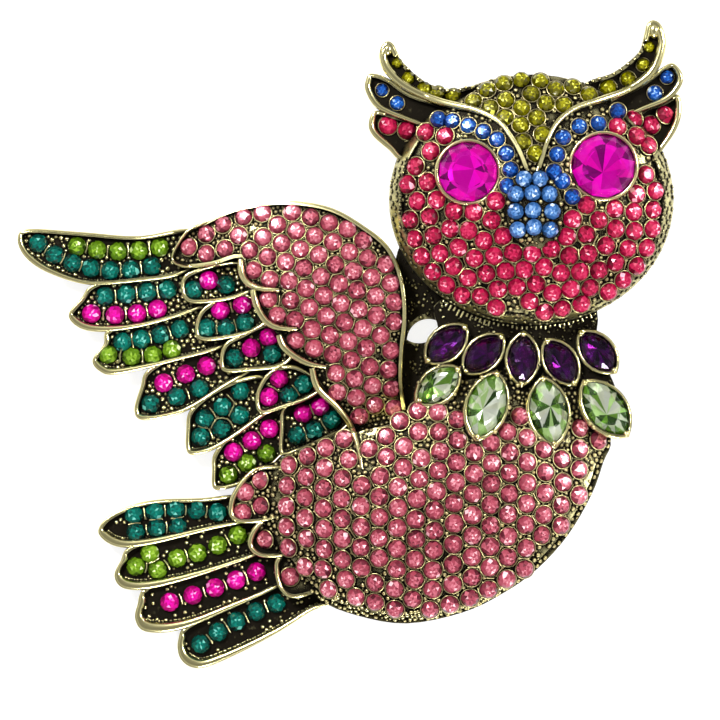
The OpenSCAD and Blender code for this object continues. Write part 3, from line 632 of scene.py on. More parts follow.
# %% A tree that sweeps wires
def sweeping_tree():
    tree = bpy.data.node_groups.new("sweep a wire", "GeometryNodeTree")
    socket(tree, "Geometry", "NodeSocketGeometry")
    socket(tree, "Sides", "NodeSocketInt", 8)
    socket(tree, "Finish", "NodeSocketMaterial")
    socket(tree, "Geometry", "NodeSocketGeometry", inward=False)
    new = tree.nodes.new
    link = tree.links.new
    enter, leave = new("NodeGroupInput"), new("NodeGroupOutput")
    line = new("GeometryNodeMeshToCurve")
    link(enter.outputs["Geometry"], line.inputs[0])
    circle = new("GeometryNodeCurvePrimitiveCircle")
    circle.inputs["Radius"].default_value = 1.0
    link(enter.outputs["Sides"], circle.inputs["Resolution"])
    wire = new("GeometryNodeCurveToMesh")
    wire.inputs["Fill Caps"].default_value = True
    link(line.outputs[0], wire.inputs["Curve"])
    link(named(tree, "size", "FLOAT"), wire.inputs["Scale"])
    link(circle.outputs[0], wire.inputs["Profile Curve"])
    finish = new("GeometryNodeSetMaterial")
    link(wire.outputs[0], finish.inputs["Geometry"])
    link(enter.outputs["Finish"], finish.inputs["Material"])
    real = new("GeometryNodeRealizeInstances")
    link(finish.outputs[0], real.inputs[0])
    link(real.outputs[0], leave.inputs[0])
    return tree


# %% [markdown]
# A tree does its work in a modifier, whose inputs are set by their sockets' own marks. The grown mesh is
# kept and its source is thrown away. Every finished piece rides on the brooch's one body and hides the
# solids that it replaces.

# %% Growing pieces and setting them on the brooch
def grown(name, source, tree, **values):
    """Runs a tree on a source object and returns the result as a plain mesh at the origin."""
    modifier = source.modifiers.new("grow", "NODES")
    modifier.node_group = tree
    for item in tree.interface.items_tree:
        key = item.name.lower()
        if item.in_out == "INPUT" and key in values:
            modifier[item.identifier] = values[key]
    graph = bpy.context.evaluated_depsgraph_get()
    mesh = bpy.data.meshes.new_from_object(source.evaluated_get(graph))
    mesh.name = name
    obj = bpy.data.objects.new(name, mesh)
    bpy.context.scene.collection.objects.link(obj)
    bpy.data.objects.remove(source)
    return obj


def attribute(obj, name, kind, values):
    """Gives every point of an object a number or a vector under a name."""
    layer = obj.data.attributes.new(name, kind, "POINT")
    layer.data.foreach_set("vector" if kind == "FLOAT_VECTOR" else "value", np.float32(values).ravel())


def set_pieces(name, piece, places, outs, sizes, finish, seed):
    source = mesh_object("points", places, [])
    attribute(source, "out", "FLOAT_VECTOR", np.broadcast_to(outs, (len(places), 3)))
    attribute(source, "size", "FLOAT", np.broadcast_to(sizes, len(places)))
    return grown(name, source, set_tree, piece=piece, seed=seed, finish=finish)


def wires(name, paths, finish, sides=8):
    """Sweeps wires along paths. A path is its points and its half thickness, one for each point or all."""
    verts, edges, sizes = [], [], []
    for points, half in paths:
        start = len(verts)
        verts.extend(points)
        edges.extend((start + i, start + i + 1) for i in range(len(points) - 1))
        sizes.extend(np.broadcast_to(half, len(points)))
    source = mesh_object("lines", verts, [], edges)
    attribute(source, "size", "FLOAT", sizes)
    obj = grown(name, source, sweep_tree, sides=sides, finish=finish)
    obj.data.shade_smooth()
    return obj


def settle(obj, slot, *replaced):
    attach(obj, "root")
    if replaced:
        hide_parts(*replaced)
    print(obj.name, "faces:", len(obj.data.polygons), "height, mm:", round(obj.dimensions.z / MM, 2))


set_tree = setting_tree()
sweep_tree = sweeping_tree()
print("trees:", [tree.name for tree in (set_tree, sweep_tree)])

# %% [markdown]
# The solids hold the stones of the feathers, the tail, the brows, the beak and the crown as loose
# solids. Their places are read from the frame: each island of a node's mesh is one stone, its lowest
# ring gives its seat and the ring's direction gives which way it faces.

# %% Seats of the stones in the frame
def islands(mesh):
    """Groups a mesh's corners into islands, after corners at one place are merged."""
    corners = np.empty(len(mesh.vertices) * 3)
    mesh.vertices.foreach_get("co", corners)
    corners = corners.reshape(-1, 3)
    merged, index = np.unique(np.round(corners, 7), axis=0, return_inverse=True)
    index = index.ravel()
    group = np.arange(len(merged))
    faces = [index[list(p.vertices)] for p in mesh.polygons]
    changed = True
    while changed:
        changed = False
        for face in faces:
            low = group[face].min()
            if (group[face] != low).any():
                group[face] = low
                changed = True
    return [merged[group == g] for g in np.unique(group)]


def stone_seats(node):
    seats, outs = [], []
    for corners in islands(frame["nodes"][node].data):
        mid = corners.mean(axis=0)
        spread = np.linalg.svd(corners - mid)[2]
        out = spread[2] if spread[2][2] > 0 else -spread[2]
        depth = (corners - mid) @ out
        seats.append(corners[depth < depth.min() + 0.02 * MM].mean(axis=0))
        outs.append(out)
    return np.array(seats), np.array(outs)


# %% [markdown]
# The stones of the feathers, the tail and the beak are drawn from their seats right away. Those of the
# crown and the brows are only noted here, because a few more are added to them further down.

# %% Stones of the feathers, the tail and the beak
FEATHER_R = 0.95 * MM
BROW_R = 0.82 * MM
CROWN_R = 0.86 * MM
charted_stones = {
    "wing_stones_teal": (teal, "stone_teal", FEATHER_R),
    "wing_stones_green": (leaf, "stone_green", FEATHER_R),
    "wing_stones_fuchsia": (fuchsia, "stone_fuchsia", FEATHER_R),
    "tail_stones_teal": (teal, "stone_teal", FEATHER_R),
    "tail_stones_green": (leaf, "stone_green", FEATHER_R),
    "tail_stones_fuchsia": (fuchsia, "stone_fuchsia", FEATHER_R),
    "brow_stones": (blue, "stone_blue", BROW_R),
    "beak_stones": (sky, "stone_light_blue", BROW_R),
    "crown_stones": (olive, "stone_olive", CROWN_R)}
all_seats = {}
set_so_far = []
for seed, (node, (finish, slot, radius)) in enumerate(charted_stones.items()):
    seats, outs = stone_seats(node)
    all_seats[node] = (seats, outs)
    if node not in ("brow_stones", "crown_stones"):
        cut = set_pieces("cut_" + node, stone_cut, seats, outs, radius, finish, seed + 1)
        settle(cut, slot, node)
        set_so_far += [(x, y, radius) for x, y, z in seats]
print("stones read from the frame:", sum(len(seats) for seats, outs in all_seats.values()))

# %% [markdown]
# Everything that is laid on the metal needs to know how high the metal stands there. A ray sent
# straight down finds it, and seven rays over a stone's width find the height at which the stone sits.

# %% The height of the metal
MOST_STEP = 0.62 * MM
UP = (0, 0, 1)
casting = frame["nodes"]["casting"]
casting_tree = BVHTree.FromObject(casting, bpy.context.evaluated_depsgraph_get())


def ground(points):
    hits = [casting_tree.ray_cast((p[0], p[1], 50 * MM), (0, 0, -1))[0] for p in points]
    return np.array([0.0 if hit is None else hit[2] for hit in hits])


def heights_under(points, radius):
    turns = np.arange(6) * math.pi / 3
    rays = [points] + [points + 0.6 * radius * np.array([math.cos(t), math.sin(t)]) for t in turns]
    return np.array([ground(r) for r in rays])


def steady(points, radius):
    """The points where no wall beside a stone would cover it, and where it doesn't hang over an edge."""
    z = heights_under(points, radius)
    seat = np.median(z, axis=0)
    return points[(z.max(axis=0) - seat < MOST_STEP) & (z.min(axis=0) > 0) & (z[0] > seat - MOST_STEP)]


def seated(points, dome, radius):
    """The seats and directions of stones laid on a dome or on the flat metal beside it."""
    z = np.median(heights_under(points, radius), axis=0)
    on_dome = np.abs(z - dome.height(points)) < 0.4 * MM
    return np.column_stack([points, z]), np.where(on_dome[:, None], dome.out(points), UP)


print("metal over the middle of the body, mm:", round(ground([body_dome.mid])[0] / MM, 2))

# %% [markdown]
# Close fields. On the face, the body, its tail lobes and the shoulder the stones are laid by eye, as
# close as they go, and so they are here: a starting grid is pushed apart and pulled into the free
# places of the field until the stones lie a pitch from each other, and gaps are filled as they open.

# %% Free places of a field
GRID = 0.12 * MM


def free_places(loop, room, blocked, step=GRID):
    low, high = loop.min(axis=0), loop.max(axis=0)
    xs = np.arange(low[0], high[0], step)
    ys = np.arange(low[1], high[1], step)
    grid = np.stack(np.meshgrid(xs, ys), axis=-1).reshape(-1, 2)
    grid = grid[inside(grid, loop)]
    for line, closed, space, covered in [(loop, True, room, False), *blocked]:
        reach = max(space, 0) + step
        near = ((grid > line.min(axis=0) - reach) & (grid < line.max(axis=0) + reach)).all(axis=1)
        part = grid[near]
        clear = gap_to(part, line, closed) > space
        if covered:
            clear &= ~inside(part, line)
        near[near] = ~clear
        grid = grid[~near]
    return grid


# %% [markdown]
# The stones start on a grid. Each round pushes those that are too close apart and snaps those that left
# the field back into it. Then stones that are still too close go, and gaps that are wide enough are
# filled, always the tightest one first.

# %% Pushing, thinning and filling
def snapped(tree, free, points, limit):
    kept = []
    for p in points:
        hit, index, gap = tree.find((p[0], p[1], 0))
        if gap < limit:
            kept.append(free[index] if gap > GRID else p)
    return np.array(kept)


def pushed(tree, free, points, pitch, rounds):
    for _ in range(rounds):
        d = points[:, None] - points[None]
        gap = np.sqrt((d * d).sum(-1)) + 1e-12
        near = np.maximum(pitch - gap, 0)
        near[gap < 1e-9] = 0
        points = points + (d / gap[..., None] * near[..., None]).sum(axis=1) * 0.42
        points = snapped(tree, free, points, 1)
    return points


def thinned(points, least):
    kept = []
    for p in points:
        if not kept or np.hypot(*(np.array(kept) - p).T).min() >= least:
            kept.append(p)
    return np.array(kept)


def filled(free, stones, least):
    """Adds stones in the tightest free places until none is left."""
    gap = np.min([np.hypot(*(free - s).T) for s in stones], axis=0)
    stones = list(stones)
    while (gap > least).any():
        k = int(np.where(gap > least, gap, np.inf).argmin())
        stones.append(free[k])
        gap = np.minimum(gap, np.hypot(*(free - free[k]).T))
    return np.array(stones)


def lay_field(loop, room, blocked, pitch, turn):
    free = free_places(loop, room, blocked)
    tree = kdtree.KDTree(len(free))
    for i, p in enumerate(free):
        tree.insert((p[0], p[1], 0), i)
    tree.balance()
    mid = free.mean(axis=0)
    reach = int(np.ceil(np.abs(free - mid).max() / pitch)) + 3
    steps = np.arange(-reach, reach + 1)
    rows = np.array([((i + (j % 2) / 2) * pitch, j * pitch * math.sqrt(3) / 2)
                     for j in steps for i in steps])
    c, s = math.cos(turn), math.sin(turn)
    stones = snapped(tree, free, rows @ np.array([[c, s], [-s, c]]) + mid, 0.35 * pitch)
    for _ in range(6):
        stones = thinned(pushed(tree, free, stones, pitch, 25), 0.88 * pitch)
        stones = filled(free, stones, 0.86 * pitch)
    stones = thinned(pushed(tree, free, stones, pitch, 80), 0.90 * pitch)
    return steady(filled(free, stones, 0.93 * pitch), 0.45 * pitch)


# %% [markdown]
# A field is laid round what is already there. A block keeps it free: an outline with some room round it,
# a line with some room beside it, or the spot of a stone whose place is given.

# %% Blocks and the outlines of the large stones
SPOT = 0.3 * MM


def outline_block(loop, room=0.0):
    return (loop, True, room, True)


def line_block(line, room):
    return (line, False, room, False)


def blocks_round(places, distance):
    return [outline_block(ellipse(p, SPOT, SPOT, sides=8), distance - SPOT) for p in places]


def eye_loop(name, extra):
    mid, d = EYES[name]
    half = d / 2 + extra
    return ellipse(place(mid), half, half, sides=48)


def boat_loop(mid, size, turn, grow, steps=9):
    """A boat-shaped outline: two bows that meet in two points."""
    half_l, half_w = size[0] / 2 + grow, size[1] / 2 + grow
    r = (half_l ** 2 + half_w ** 2) / (2 * half_w)
    sweep = np.linspace(1, -1, steps) * math.asin(half_l / r)
    upper = np.column_stack([r * np.sin(sweep), r * np.cos(sweep) - r + half_w])
    both = np.concatenate([upper, -upper[1:-1]])[::-1]
    c, s = math.cos(math.radians(turn)), math.sin(math.radians(turn))
    return both @ np.array([[c, s], [-s, c]]) + place(mid)


PURPLE = (5.0 * MM, 2.9 * MM)
GREEN = (6.6 * MM, 3.7 * MM)
purple_stones = [((446, 344), 42), ((483, 354), 44), ((522, 359), 88), ((560, 362), -57),
                 ((597, 352), -48)]
green_stones = [((438, 385), 39), ((486, 405), 73), ((548, 411), -80), ((605, 408), -51)]
green_sizes = [PURPLE, GREEN, GREEN, GREEN]
BEZEL = 0.35 * MM
green_loops = [boat_loop(mid, size, turn, BEZEL) for (mid, turn), size in zip(green_stones, green_sizes)]
purple_loops = [boat_loop(mid, PURPLE, turn, BEZEL) for mid, turn in purple_stones]
print("boat-shaped stones:", len(green_loops + purple_loops))

# %% [markdown]
# The crown and the tufts carry one field. Its stones in the tufts keep the places that the frame gives
# them, two more are added on the left side, and the rest is laid between the ridges.

# %% Crown
CROWN_PITCH = 1.74 * MM


def places_of(node):
    return all_seats[node][0][:, :2]


crown_field = smooth_loop([
    (466, 107), (474, 94), (500, 81), (533, 76), (562, 80), (587, 90), (601, 99), (574, 107), (555, 122),
    (545, 142), (538, 160), (531, 171), (524, 160), (512, 140), (497, 122), (475, 111)])
tuft_stones = places_of("crown_stones")
tuft_stones = tuft_stones[~inside(tuft_stones, crown_field)]
tuft_stones = np.concatenate([tuft_stones, places_at([(438, 94), (453, 97)])])
crown_blocks = blocks_round(tuft_stones, CROWN_PITCH)
crown_stones = lay_field(crown_field, 0.72 * CROWN_R, crown_blocks, CROWN_PITCH, turn=0.0)
crown_stones = np.concatenate([tuft_stones, crown_stones])
print("stones of the crown:", len(crown_stones))

# %% [markdown]
# The brows keep the stones of the frame that lie clear of walls, with two more beside the beak and one
# at each outer end. The face is the largest field of the head: it runs round the eyes and the beak, and
# on the cheeks the stones have given places, because they follow the lobes there.

# %% Brows and face
FACE_PITCH, FACE_R = 1.93 * MM, 0.93 * MM
brow_stones = np.concatenate([places_of("brow_stones"), places_at([(506, 188), (560, 183)])])
brow_stones = np.concatenate([steady(brow_stones, BROW_R), places_at([(438, 121), (616, 113)])])
fine_stones = np.concatenate([brow_stones, places_of("beak_stones"), crown_stones])
face_loop = smooth_loop([
    (397, 155), (420, 146), (438, 150), (467, 174), (500, 198), (504, 228), (514, 240),
    (534, 247), (554, 240), (561, 228), (568, 205), (601, 168), (632, 144), (656, 140),
    (662, 160), (659, 200), (656, 232), (644, 264),
    (622, 288), (590, 308), (531, 319), (472, 308), (440, 288), (418, 264), (406, 232), (402, 200),
    (400, 172)])
cheek_stones = places_at([
    (388, 126), (407, 131), (426, 134), (445, 138), (413, 151), (431, 153),
    (663, 116), (650, 126), (632, 121), (615, 129), (634, 138), (646, 147)])
face_blocks = blocks_round(fine_stones, BROW_R + 0.9 * FACE_R)
face_blocks += blocks_round(cheek_stones, 0.93 * FACE_PITCH)
face_blocks += [outline_block(eye_loop(n, BEZEL), 0.8 * FACE_R) for n in EYES]
face_stones = lay_field(face_loop, 0.78 * FACE_R, face_blocks, FACE_PITCH, turn=0.2)
face_stones = np.concatenate([cheek_stones, face_stones])
print("stones of the brows and the face:", len(brow_stones), len(face_stones))

# %% [markdown]
# The body's field is the largest. It ends at the collar, at the lowest wire of the shoulder and at the
# rims of the tail's lobes, and a small gap is left where the collar's metal shows.

# %% Body
BODY_PITCH, BODY_R = 2.06 * MM, 0.92 * MM
body_field = smooth_loop([
    (234, 510), (240, 488), (258, 471), (290, 459), (345, 430), (402, 414), (425, 398), (470, 385),
    (540, 380), (590, 400), (612, 440), (606, 464), (594, 497), (570, 538), (539, 572), (503, 591),
    (463, 606), (407, 615), (350, 600), (318, 592), (294, 592), (279, 580), (262, 550), (246, 530)])
collar_gap = ellipse(place((517, 397)), 0.9 * MM, 0.9 * MM, sides=12)
low_lobes = [loop[body_dome.height(loop) < LOBE_FLOOR + RIM_H] for loop in tail_lobes]
lobe_stones = places_at([(290, 577), (306, 566)])
body_blocks = [outline_block(loop, 0.9 * BODY_R) for loop in green_loops + purple_loops]
body_blocks += [line_block(shoulder_rims[3], 0.12 * MM + BODY_R)]
body_blocks += [outline_block(collar_gap, 0.5 * BODY_R), outline_block(long_feathers[4], 0.8 * BODY_R)]
body_blocks += [line_block(line, 0.25 * MM + 0.9 * BODY_R) for line in low_lobes]
body_blocks += blocks_round(lobe_stones, 0.93 * BODY_PITCH)
body_stones = lay_field(body_field, 0.72 * BODY_R, body_blocks, BODY_PITCH, turn=0.5)
body_stones = np.concatenate([lobe_stones, body_stones])
print("stones of the body:", len(body_stones))

# %% [markdown]
# The shoulder's field is crossed by four wires, and its stones keep clear of them.

# %% Shoulder
SHOULDER_PITCH, SHOULDER_R = 1.92 * MM, 0.91 * MM
shoulder_blocks = [line_block(line, 0.12 * MM + 0.9 * SHOULDER_R) for line in shoulder_rims]
shoulder_blocks.append(outline_block(body, 0.9 * SHOULDER_R))
shoulder_room = 0.36 * MM + 0.9 * SHOULDER_R
shoulder_stones = lay_field(shoulder, shoulder_room, shoulder_blocks, SHOULDER_PITCH, turn=-0.35)
print("stones of the shoulder:", len(shoulder_stones))

# %% [markdown]
# Now all five fields are set. The sizes differ a little by chance, and they shrink towards the tips of
# the horns, where the metal is narrow. The two outer stones of the brows stand half on a wall, so they
# sit on the highest metal below them and face straight up.

# %% Setting the close fields
HORN_TIPS = [(386, 46), (655, 26)]
fields = {
    "face_stones": (face_stones, head_dome, FACE_R, crimson, "stone_crimson", ()),
    "body_stones": (body_stones, body_dome, BODY_R, rose, "stone_rose", ()),
    "crown_field": (crown_stones, head_dome, CROWN_R, olive, "stone_olive", ("crown_stones",)),
    "brow_field": (brow_stones, head_dome, BROW_R, blue, "stone_blue", ("brow_stones",)),
    "shoulder_field": (shoulder_stones, shoulder_dome, SHOULDER_R, rose, "stone_rose",
                       ("shoulder_stones",))}
smaller = {}
for seed, (name, (points, dome, radius, finish, slot, replaced)) in enumerate(fields.items()):
    seats, outs = seated(points, dome, radius)
    if name == "brow_field":
        seats[-2:, 2] = heights_under(points[-2:], radius).max(axis=0) + 0.1 * MM
        outs[-2:] = UP
    all_seats[name] = (seats, outs)
    set_so_far += [(x, y, radius) for x, y in points]
    chance = np.random.default_rng(seed).uniform(0.97, 1.03, len(points))
    tips = [np.linalg.norm(points - place(tip), axis=1) for tip in HORN_TIPS]
    smaller[name] = np.interp(np.min(tips, axis=0), [1.5 * MM, 8 * MM], [0.6, 1.0])
    chance = chance * smaller[name]
    cut = set_pieces(name, stone_cut, seats, outs, radius * chance, finish, seed + 20)
    settle(cut, slot, *replaced)

# %% [markdown]
# Rims. Every feather, lobe and setting has a rounded rim. One function sweeps a rounded section round
# the visible part of an outline. The rim's width may change from point to point, because the brooch's
# rims swell on the lower left side of the feathers, where the cast metal shows its thickness.

# %% A rounded rim
ROUND = ((0, 0), (0, 0.62), (0.06, 0.88), (0.24, 0.985), (0.5, 1), (0.76, 0.97), (0.93, 0.84), (1, 0.55),
         (1, 0))
LAP = 0.06 * MM


def outward(loop):
    run = np.roll(loop, -1, axis=0) - np.roll(loop, 1, axis=0)
    run = run / np.maximum(np.linalg.norm(run, axis=1), 1e-12)[:, None]
    x, y = loop[:, 0], loop[:, 1]
    turns_left = (x * np.roll(y, -1) - np.roll(x, -1) * y).sum() > 0
    side = np.column_stack([run[:, 1], -run[:, 0]])
    return side if turns_left else -side


# %% [markdown]
# A rim is built of one section for each point of its outline. Where only part of it shows, every visible
# stretch is closed at both ends.

# %% The mesh of a rim
def shown_runs(keep):
    """The visible stretches of a loop, each longer by a point at both ends. None means all of it."""
    count = len(keep)
    if keep.all():
        return [None]
    starts = [i for i in range(count) if keep[i] and not keep[i - 1]]
    runs = []
    for start in starts:
        length = next(k for k in range(1, count + 1) if not keep[(start + k) % count])
        runs.append((np.arange(start - 1, start + length + 1)) % count)
    return runs


def rim_mesh(loop, width, low, high, keep=None, profile=ROUND, lap=LAP):
    """Corners and faces of a rim. Width, low and high are numbers or one value a point."""
    count = len(loop)
    width, low, high = (np.broadcast_to(v, (count,)) for v in (width, low, high))
    normals = outward(loop)
    verts, faces = [], []
    rings = len(profile)
    for run in shown_runs(np.ones(count, bool) if keep is None else keep):
        picks = np.arange(count) if run is None else run
        start = len(verts)
        for i in picks:
            for share, rise in profile:
                flat = loop[i] + normals[i] * (lap - (width[i] + lap) * share)
                verts.append((flat[0], flat[1], low[i] + (high[i] - low[i]) * rise))
        total = len(picks)
        for i in range(total if run is None else total - 1):
            a, b = start + i * rings, start + (i + 1) % total * rings
            faces += [(a + k, a + (k + 1) % rings, b + (k + 1) % rings, b + k) for k in range(rings)]
        if run is not None:
            last = start + (total - 1) * rings
            faces += [tuple(range(start + rings - 1, start - 1, -1)), tuple(range(last, last + rings))]
    return verts, faces


def face_out(obj):
    facing = bmesh.new()
    facing.from_mesh(obj.data)
    bmesh.ops.recalc_face_normals(facing, faces=facing.faces)
    facing.to_mesh(obj.data)
    facing.free()


def joined(name, parts, finish, smooth=True):
    """One piece of metal from many parts."""
    verts, faces = [], []
    for more, shapes in parts:
        start = len(verts)
        verts += more
        faces += [tuple(start + i for i in shape) for shape in shapes]
    obj = mesh_object(name, verts, faces)
    face_out(obj)
    obj.data.materials.append(finish)
    if smooth:
        obj.data.shade_smooth()
    settle(obj, "antique_gold")


print("points of a rim's section:", len(ROUND))

# %% [markdown]
# Where a feather, a lobe or the shoulder covers the next one, the lower rim isn't drawn. The rims are
# thickest near the tips, and each leaves the line of its inner foot, where the casting has small teeth.

# %% Rims of the feathers and the lobes
def swell(loop, tip, thin, thick, reach, light=(-0.55, -0.83)):
    """A width that grows where the outline faces the lower left, and most near the feather's tip."""
    side = np.clip(outward(loop) @ np.array(light), 0, 1) ** 0.7
    away = np.linalg.norm(loop - place(tip), axis=1)
    fade = np.clip(1 - (away - 0.35 * reach) / reach, 0, 1)
    return thin + (thick - thin) * side * fade


def free_of(loop, *covers):
    keep = np.ones(len(loop), bool)
    for cover in covers:
        keep &= ~inside(loop, cover)
    return keep


def foot_line(loop, width, keep):
    """The visible lower stretch of a rim's inner foot, where the casting has a row of teeth."""
    lower = keep & (outward(loop)[:, 1] < -0.3)
    return (loop - outward(loop) * (width + 0.12 * MM)[:, None])[lower]


FLOOR_LAP = 0.3 * MM
RIM_TOP = RIM_H + 0.08 * MM
THIN = 0.30 * MM
foot_lines = []


def floor_rim(loop, width, level, keep):
    return rim_mesh(loop, width, level - FLOOR_LAP, level + RIM_TOP, keep)


def feather_rims(loops, over, tips, thick, reach, level):
    """The rims of feathers that lie over each other, the first one on top."""
    parts = []
    for k, loop in enumerate(loops):
        keep = free_of(loop, *loops[:k], *over)
        width = swell(loop, tips[k], THIN, thick[k] * MM, reach)
        foot_lines.append(foot_line(loop, width, keep))
        parts.append(floor_rim(loop, width, level, keep))
    return parts


long_tips = [(22, 243), (75, 318), (97, 362), (138, 411), (285, 450), (190, 448), (216, 484)]
long_thick = [0.60, 0.70, 0.68, 0.50, 0.40, 0.48, 0.45]
short_tips = [(184, 294), (198, 335), (223, 367), (259, 410)]
tail_tips = [(103, 540), (118, 585), (140, 628), (184, 664)]
tail_thick = [0.85, 0.95, 1.1, 0.95]
parts = feather_rims(long_feathers, [*short_feathers, shoulder], long_tips, long_thick, 7 * MM, PLATE)
parts += feather_rims(short_feathers, [shoulder], short_tips, [0.44] * 4, 5 * MM, SHORT_FLOOR)
joined("wing_rims", parts, bright_gold)
parts = feather_rims(tail_feathers, [*tail_lobes, body], tail_tips, tail_thick, 10 * MM, PLATE)
for k, loop in enumerate(tail_lobes):
    keep = free_of(loop, *tail_lobes[:k]) & (body_dome.height(loop) < LOBE_FLOOR + RIM_H)
    width = swell(loop, (240, 530), THIN, 0.5 * MM, 9 * MM, (-1, 0))
    parts.append(floor_rim(loop, width, LOBE_FLOOR, keep))
joined("tail_rims", parts, bright_gold)

# %% [markdown]
# The shoulder has a rim round its outer side and four more that cross it. All ride on its dome.

# %% Rims on the shoulder
WIRE_R = 0.36 * MM
scallops = smooth_loop([
    (215, 268), (240, 250), (262, 285), (290, 325), (330, 370), (372, 440), (380, 480),
    (340, 480), (280, 370), (235, 300)])
keep = free_of(shoulder, body, scallops)
low = shoulder_dome.height(shoulder) - FLOOR_LAP
low = np.maximum(low, 1.5 * MM)
high = np.maximum(shoulder_dome.height(shoulder), SHORT_FLOOR) + RIM_TOP
width = swell(shoulder, (330, 205), 0.24 * MM, 0.40 * MM, 12 * MM, (0, 1))
joined("shoulder_rim", [rim_mesh(shoulder, width, low, high, keep)], bright_gold)
paths = []
for line in shoulder_rims:
    z = np.maximum(shoulder_dome.height(line), SHORT_FLOOR) + 0.70 * MM
    z = np.maximum(z, heights_under(line, 0.3 * MM).max(axis=0) + 0.15 * MM)
    taper = np.interp(np.linspace(0, 1, len(line)), [0, 0.15, 0.7, 1], [0.8, 1.0, 0.85, 0.45])
    paths.append((np.column_stack([line, z]), WIRE_R * taper))
settle(wires("shoulder_wires", paths, bright_gold, 10), "antique_gold")

# %% [markdown]
# The head. The lobes of brow and cheek have rims of their own, which swell towards the outside. The
# tufts have a rim at their tips only. The rest of their outer edge is toothed, and its line is kept for
# the teeth.

# %% Rims of the head
BROW_TIPS = [(368, 84), (678, 82)]
CHEEK_TIPS = [(371, 124), (679, 112)]
TIP_REACH = [1.5 * MM, 2.0 * MM]
parts = []
serrated = []
for side, tip in enumerate(HORN_TIPS):
    loop = tufts[side]
    near_tip = np.linalg.norm(loop - place(tip), axis=1) < TIP_REACH[side]
    parts.append(floor_rim(loop, 0.55 * MM, TUFT_FLOOR, near_tip))
    far_side = (gap_to(loop, brow_ridges[side], False) > 1.3 * MM) & ~near_tip & free_of(loop, head_edge)
    serrated.append(loop[far_side] - outward(loop)[far_side] * 0.12 * MM)
    lobes = [(brow_lobes[side], BROW_FLOOR, BROW_TIPS[side], 0.62 * MM, [tufts[side]]),
             (cheek_lobes[side], CHEEK_FLOOR, CHEEK_TIPS[side], 0.6 * MM, [tufts[side], brow_lobes[side]])]
    for loop, level, swollen, thick, over in lobes:
        width = swell(loop, swollen, THIN, thick, 6 * MM, ((-0.9, 0.9)[side], -0.4))
        parts.append(floor_rim(loop, width, level, free_of(loop, head_edge, *over)))
joined("tuft_rims", parts, bright_gold)

# %% [markdown]
# A rounded cap ends each horn. A bright ridge runs from the horn's tip down between crown and brow to
# the beak and gets thinner on its way.

# %% Horns and ridges
def pellet(a, b, level, half, steps=11):
    """A rounded lump from one chart place to another."""
    t = np.linspace(-1, 1, steps)
    flat = (place(a) + place(b)) / 2 + t[:, None] * (place(b) - place(a)) / 2
    bulge = half * np.sqrt(np.maximum(1 - t * t, 0.02))
    return np.column_stack([flat, np.full(steps, level)]), bulge


cap_level = TUFT_FLOOR + 0.42 * MM
caps = [pellet((388.5, 44.5), (387, 57), cap_level, 0.5 * MM),
        pellet((652.5, 23.5), (653, 40), cap_level, 0.62 * MM)]
settle(wires("horn_caps", caps, bright_gold, 12), "antique_gold")

RIDGE_PLACES = np.array([0, 0.12, 0.3, 0.5, 0.72, 0.86, 1.0])
RIDGE_HALF = np.array([0.40, 0.46, 0.42, 0.36, 0.28, 0.22, 0.17]) * MM
paths = []
for line in brow_ridges:
    steps = np.linalg.norm(np.diff(line, axis=0), axis=1)
    along = np.concatenate([[0], np.cumsum(steps)]) / steps.sum()
    half = np.interp(along, RIDGE_PLACES, RIDGE_HALF)
    z = np.maximum(head_dome.height(line) + 0.5 * MM, TUFT_FLOOR + 0.5 * MM)
    paths.append((np.column_stack([line, z]), half))
settle(wires("brow_ridges", paths, bright_gold, 12), "antique_gold")

# %% [markdown]
# Round the face the metal slopes down in a band. Its section is a list of places across it, from the
# foot to the dome's edge, with the height at each.

# %% Band round the face
BAND = ((0, 0), (0, 0.30), (0.08, 0.42), (0.35, 0.66), (0.7, 0.88), (1, 1), (1, 0))
BAND_W = HEAD_EDGE + 0.1 * MM
band_low = HEAD_WALL_TOP - 1.0 * MM
band_high = head_dome.height(head_edge).mean() + 0.1 * MM
keep = free_of(head_foot, crown)
joined("head_band", [rim_mesh(head_foot, BAND_W, band_low, band_high, keep, BAND, 0.0)], cast_gold)

# %% [markdown]
# Settings. The eyes and the boat-shaped stones of the collar sit in plain bezels. Small claws hold the
# boat-shaped stones at their points. The green stones lean against the body's dome, so each stands just
# high enough for both of its points to stay clear of the dome.

# %% Bezels
TIP_SINK = 0.4 * MM
EYE_SINK = 0.3 * MM
SEAT_RISE = 0.3 * MM
BEZEL_H = 0.7 * MM
BEZEL_LAP = 0.04 * MM


def eye_seat(mid):
    return float(head_dome.height(place(mid))) - EYE_SINK


def green_seat(mid, turn, size):
    half = np.array([math.cos(math.radians(turn)), math.sin(math.radians(turn))]) * size[0] / 2
    points = place(mid) + np.array([[0, 0], half, -half])
    z = body_dome.height(points)
    return float(max(z[0], z[1:].max() - TIP_SINK, NECK_TOP)) + SEAT_RISE


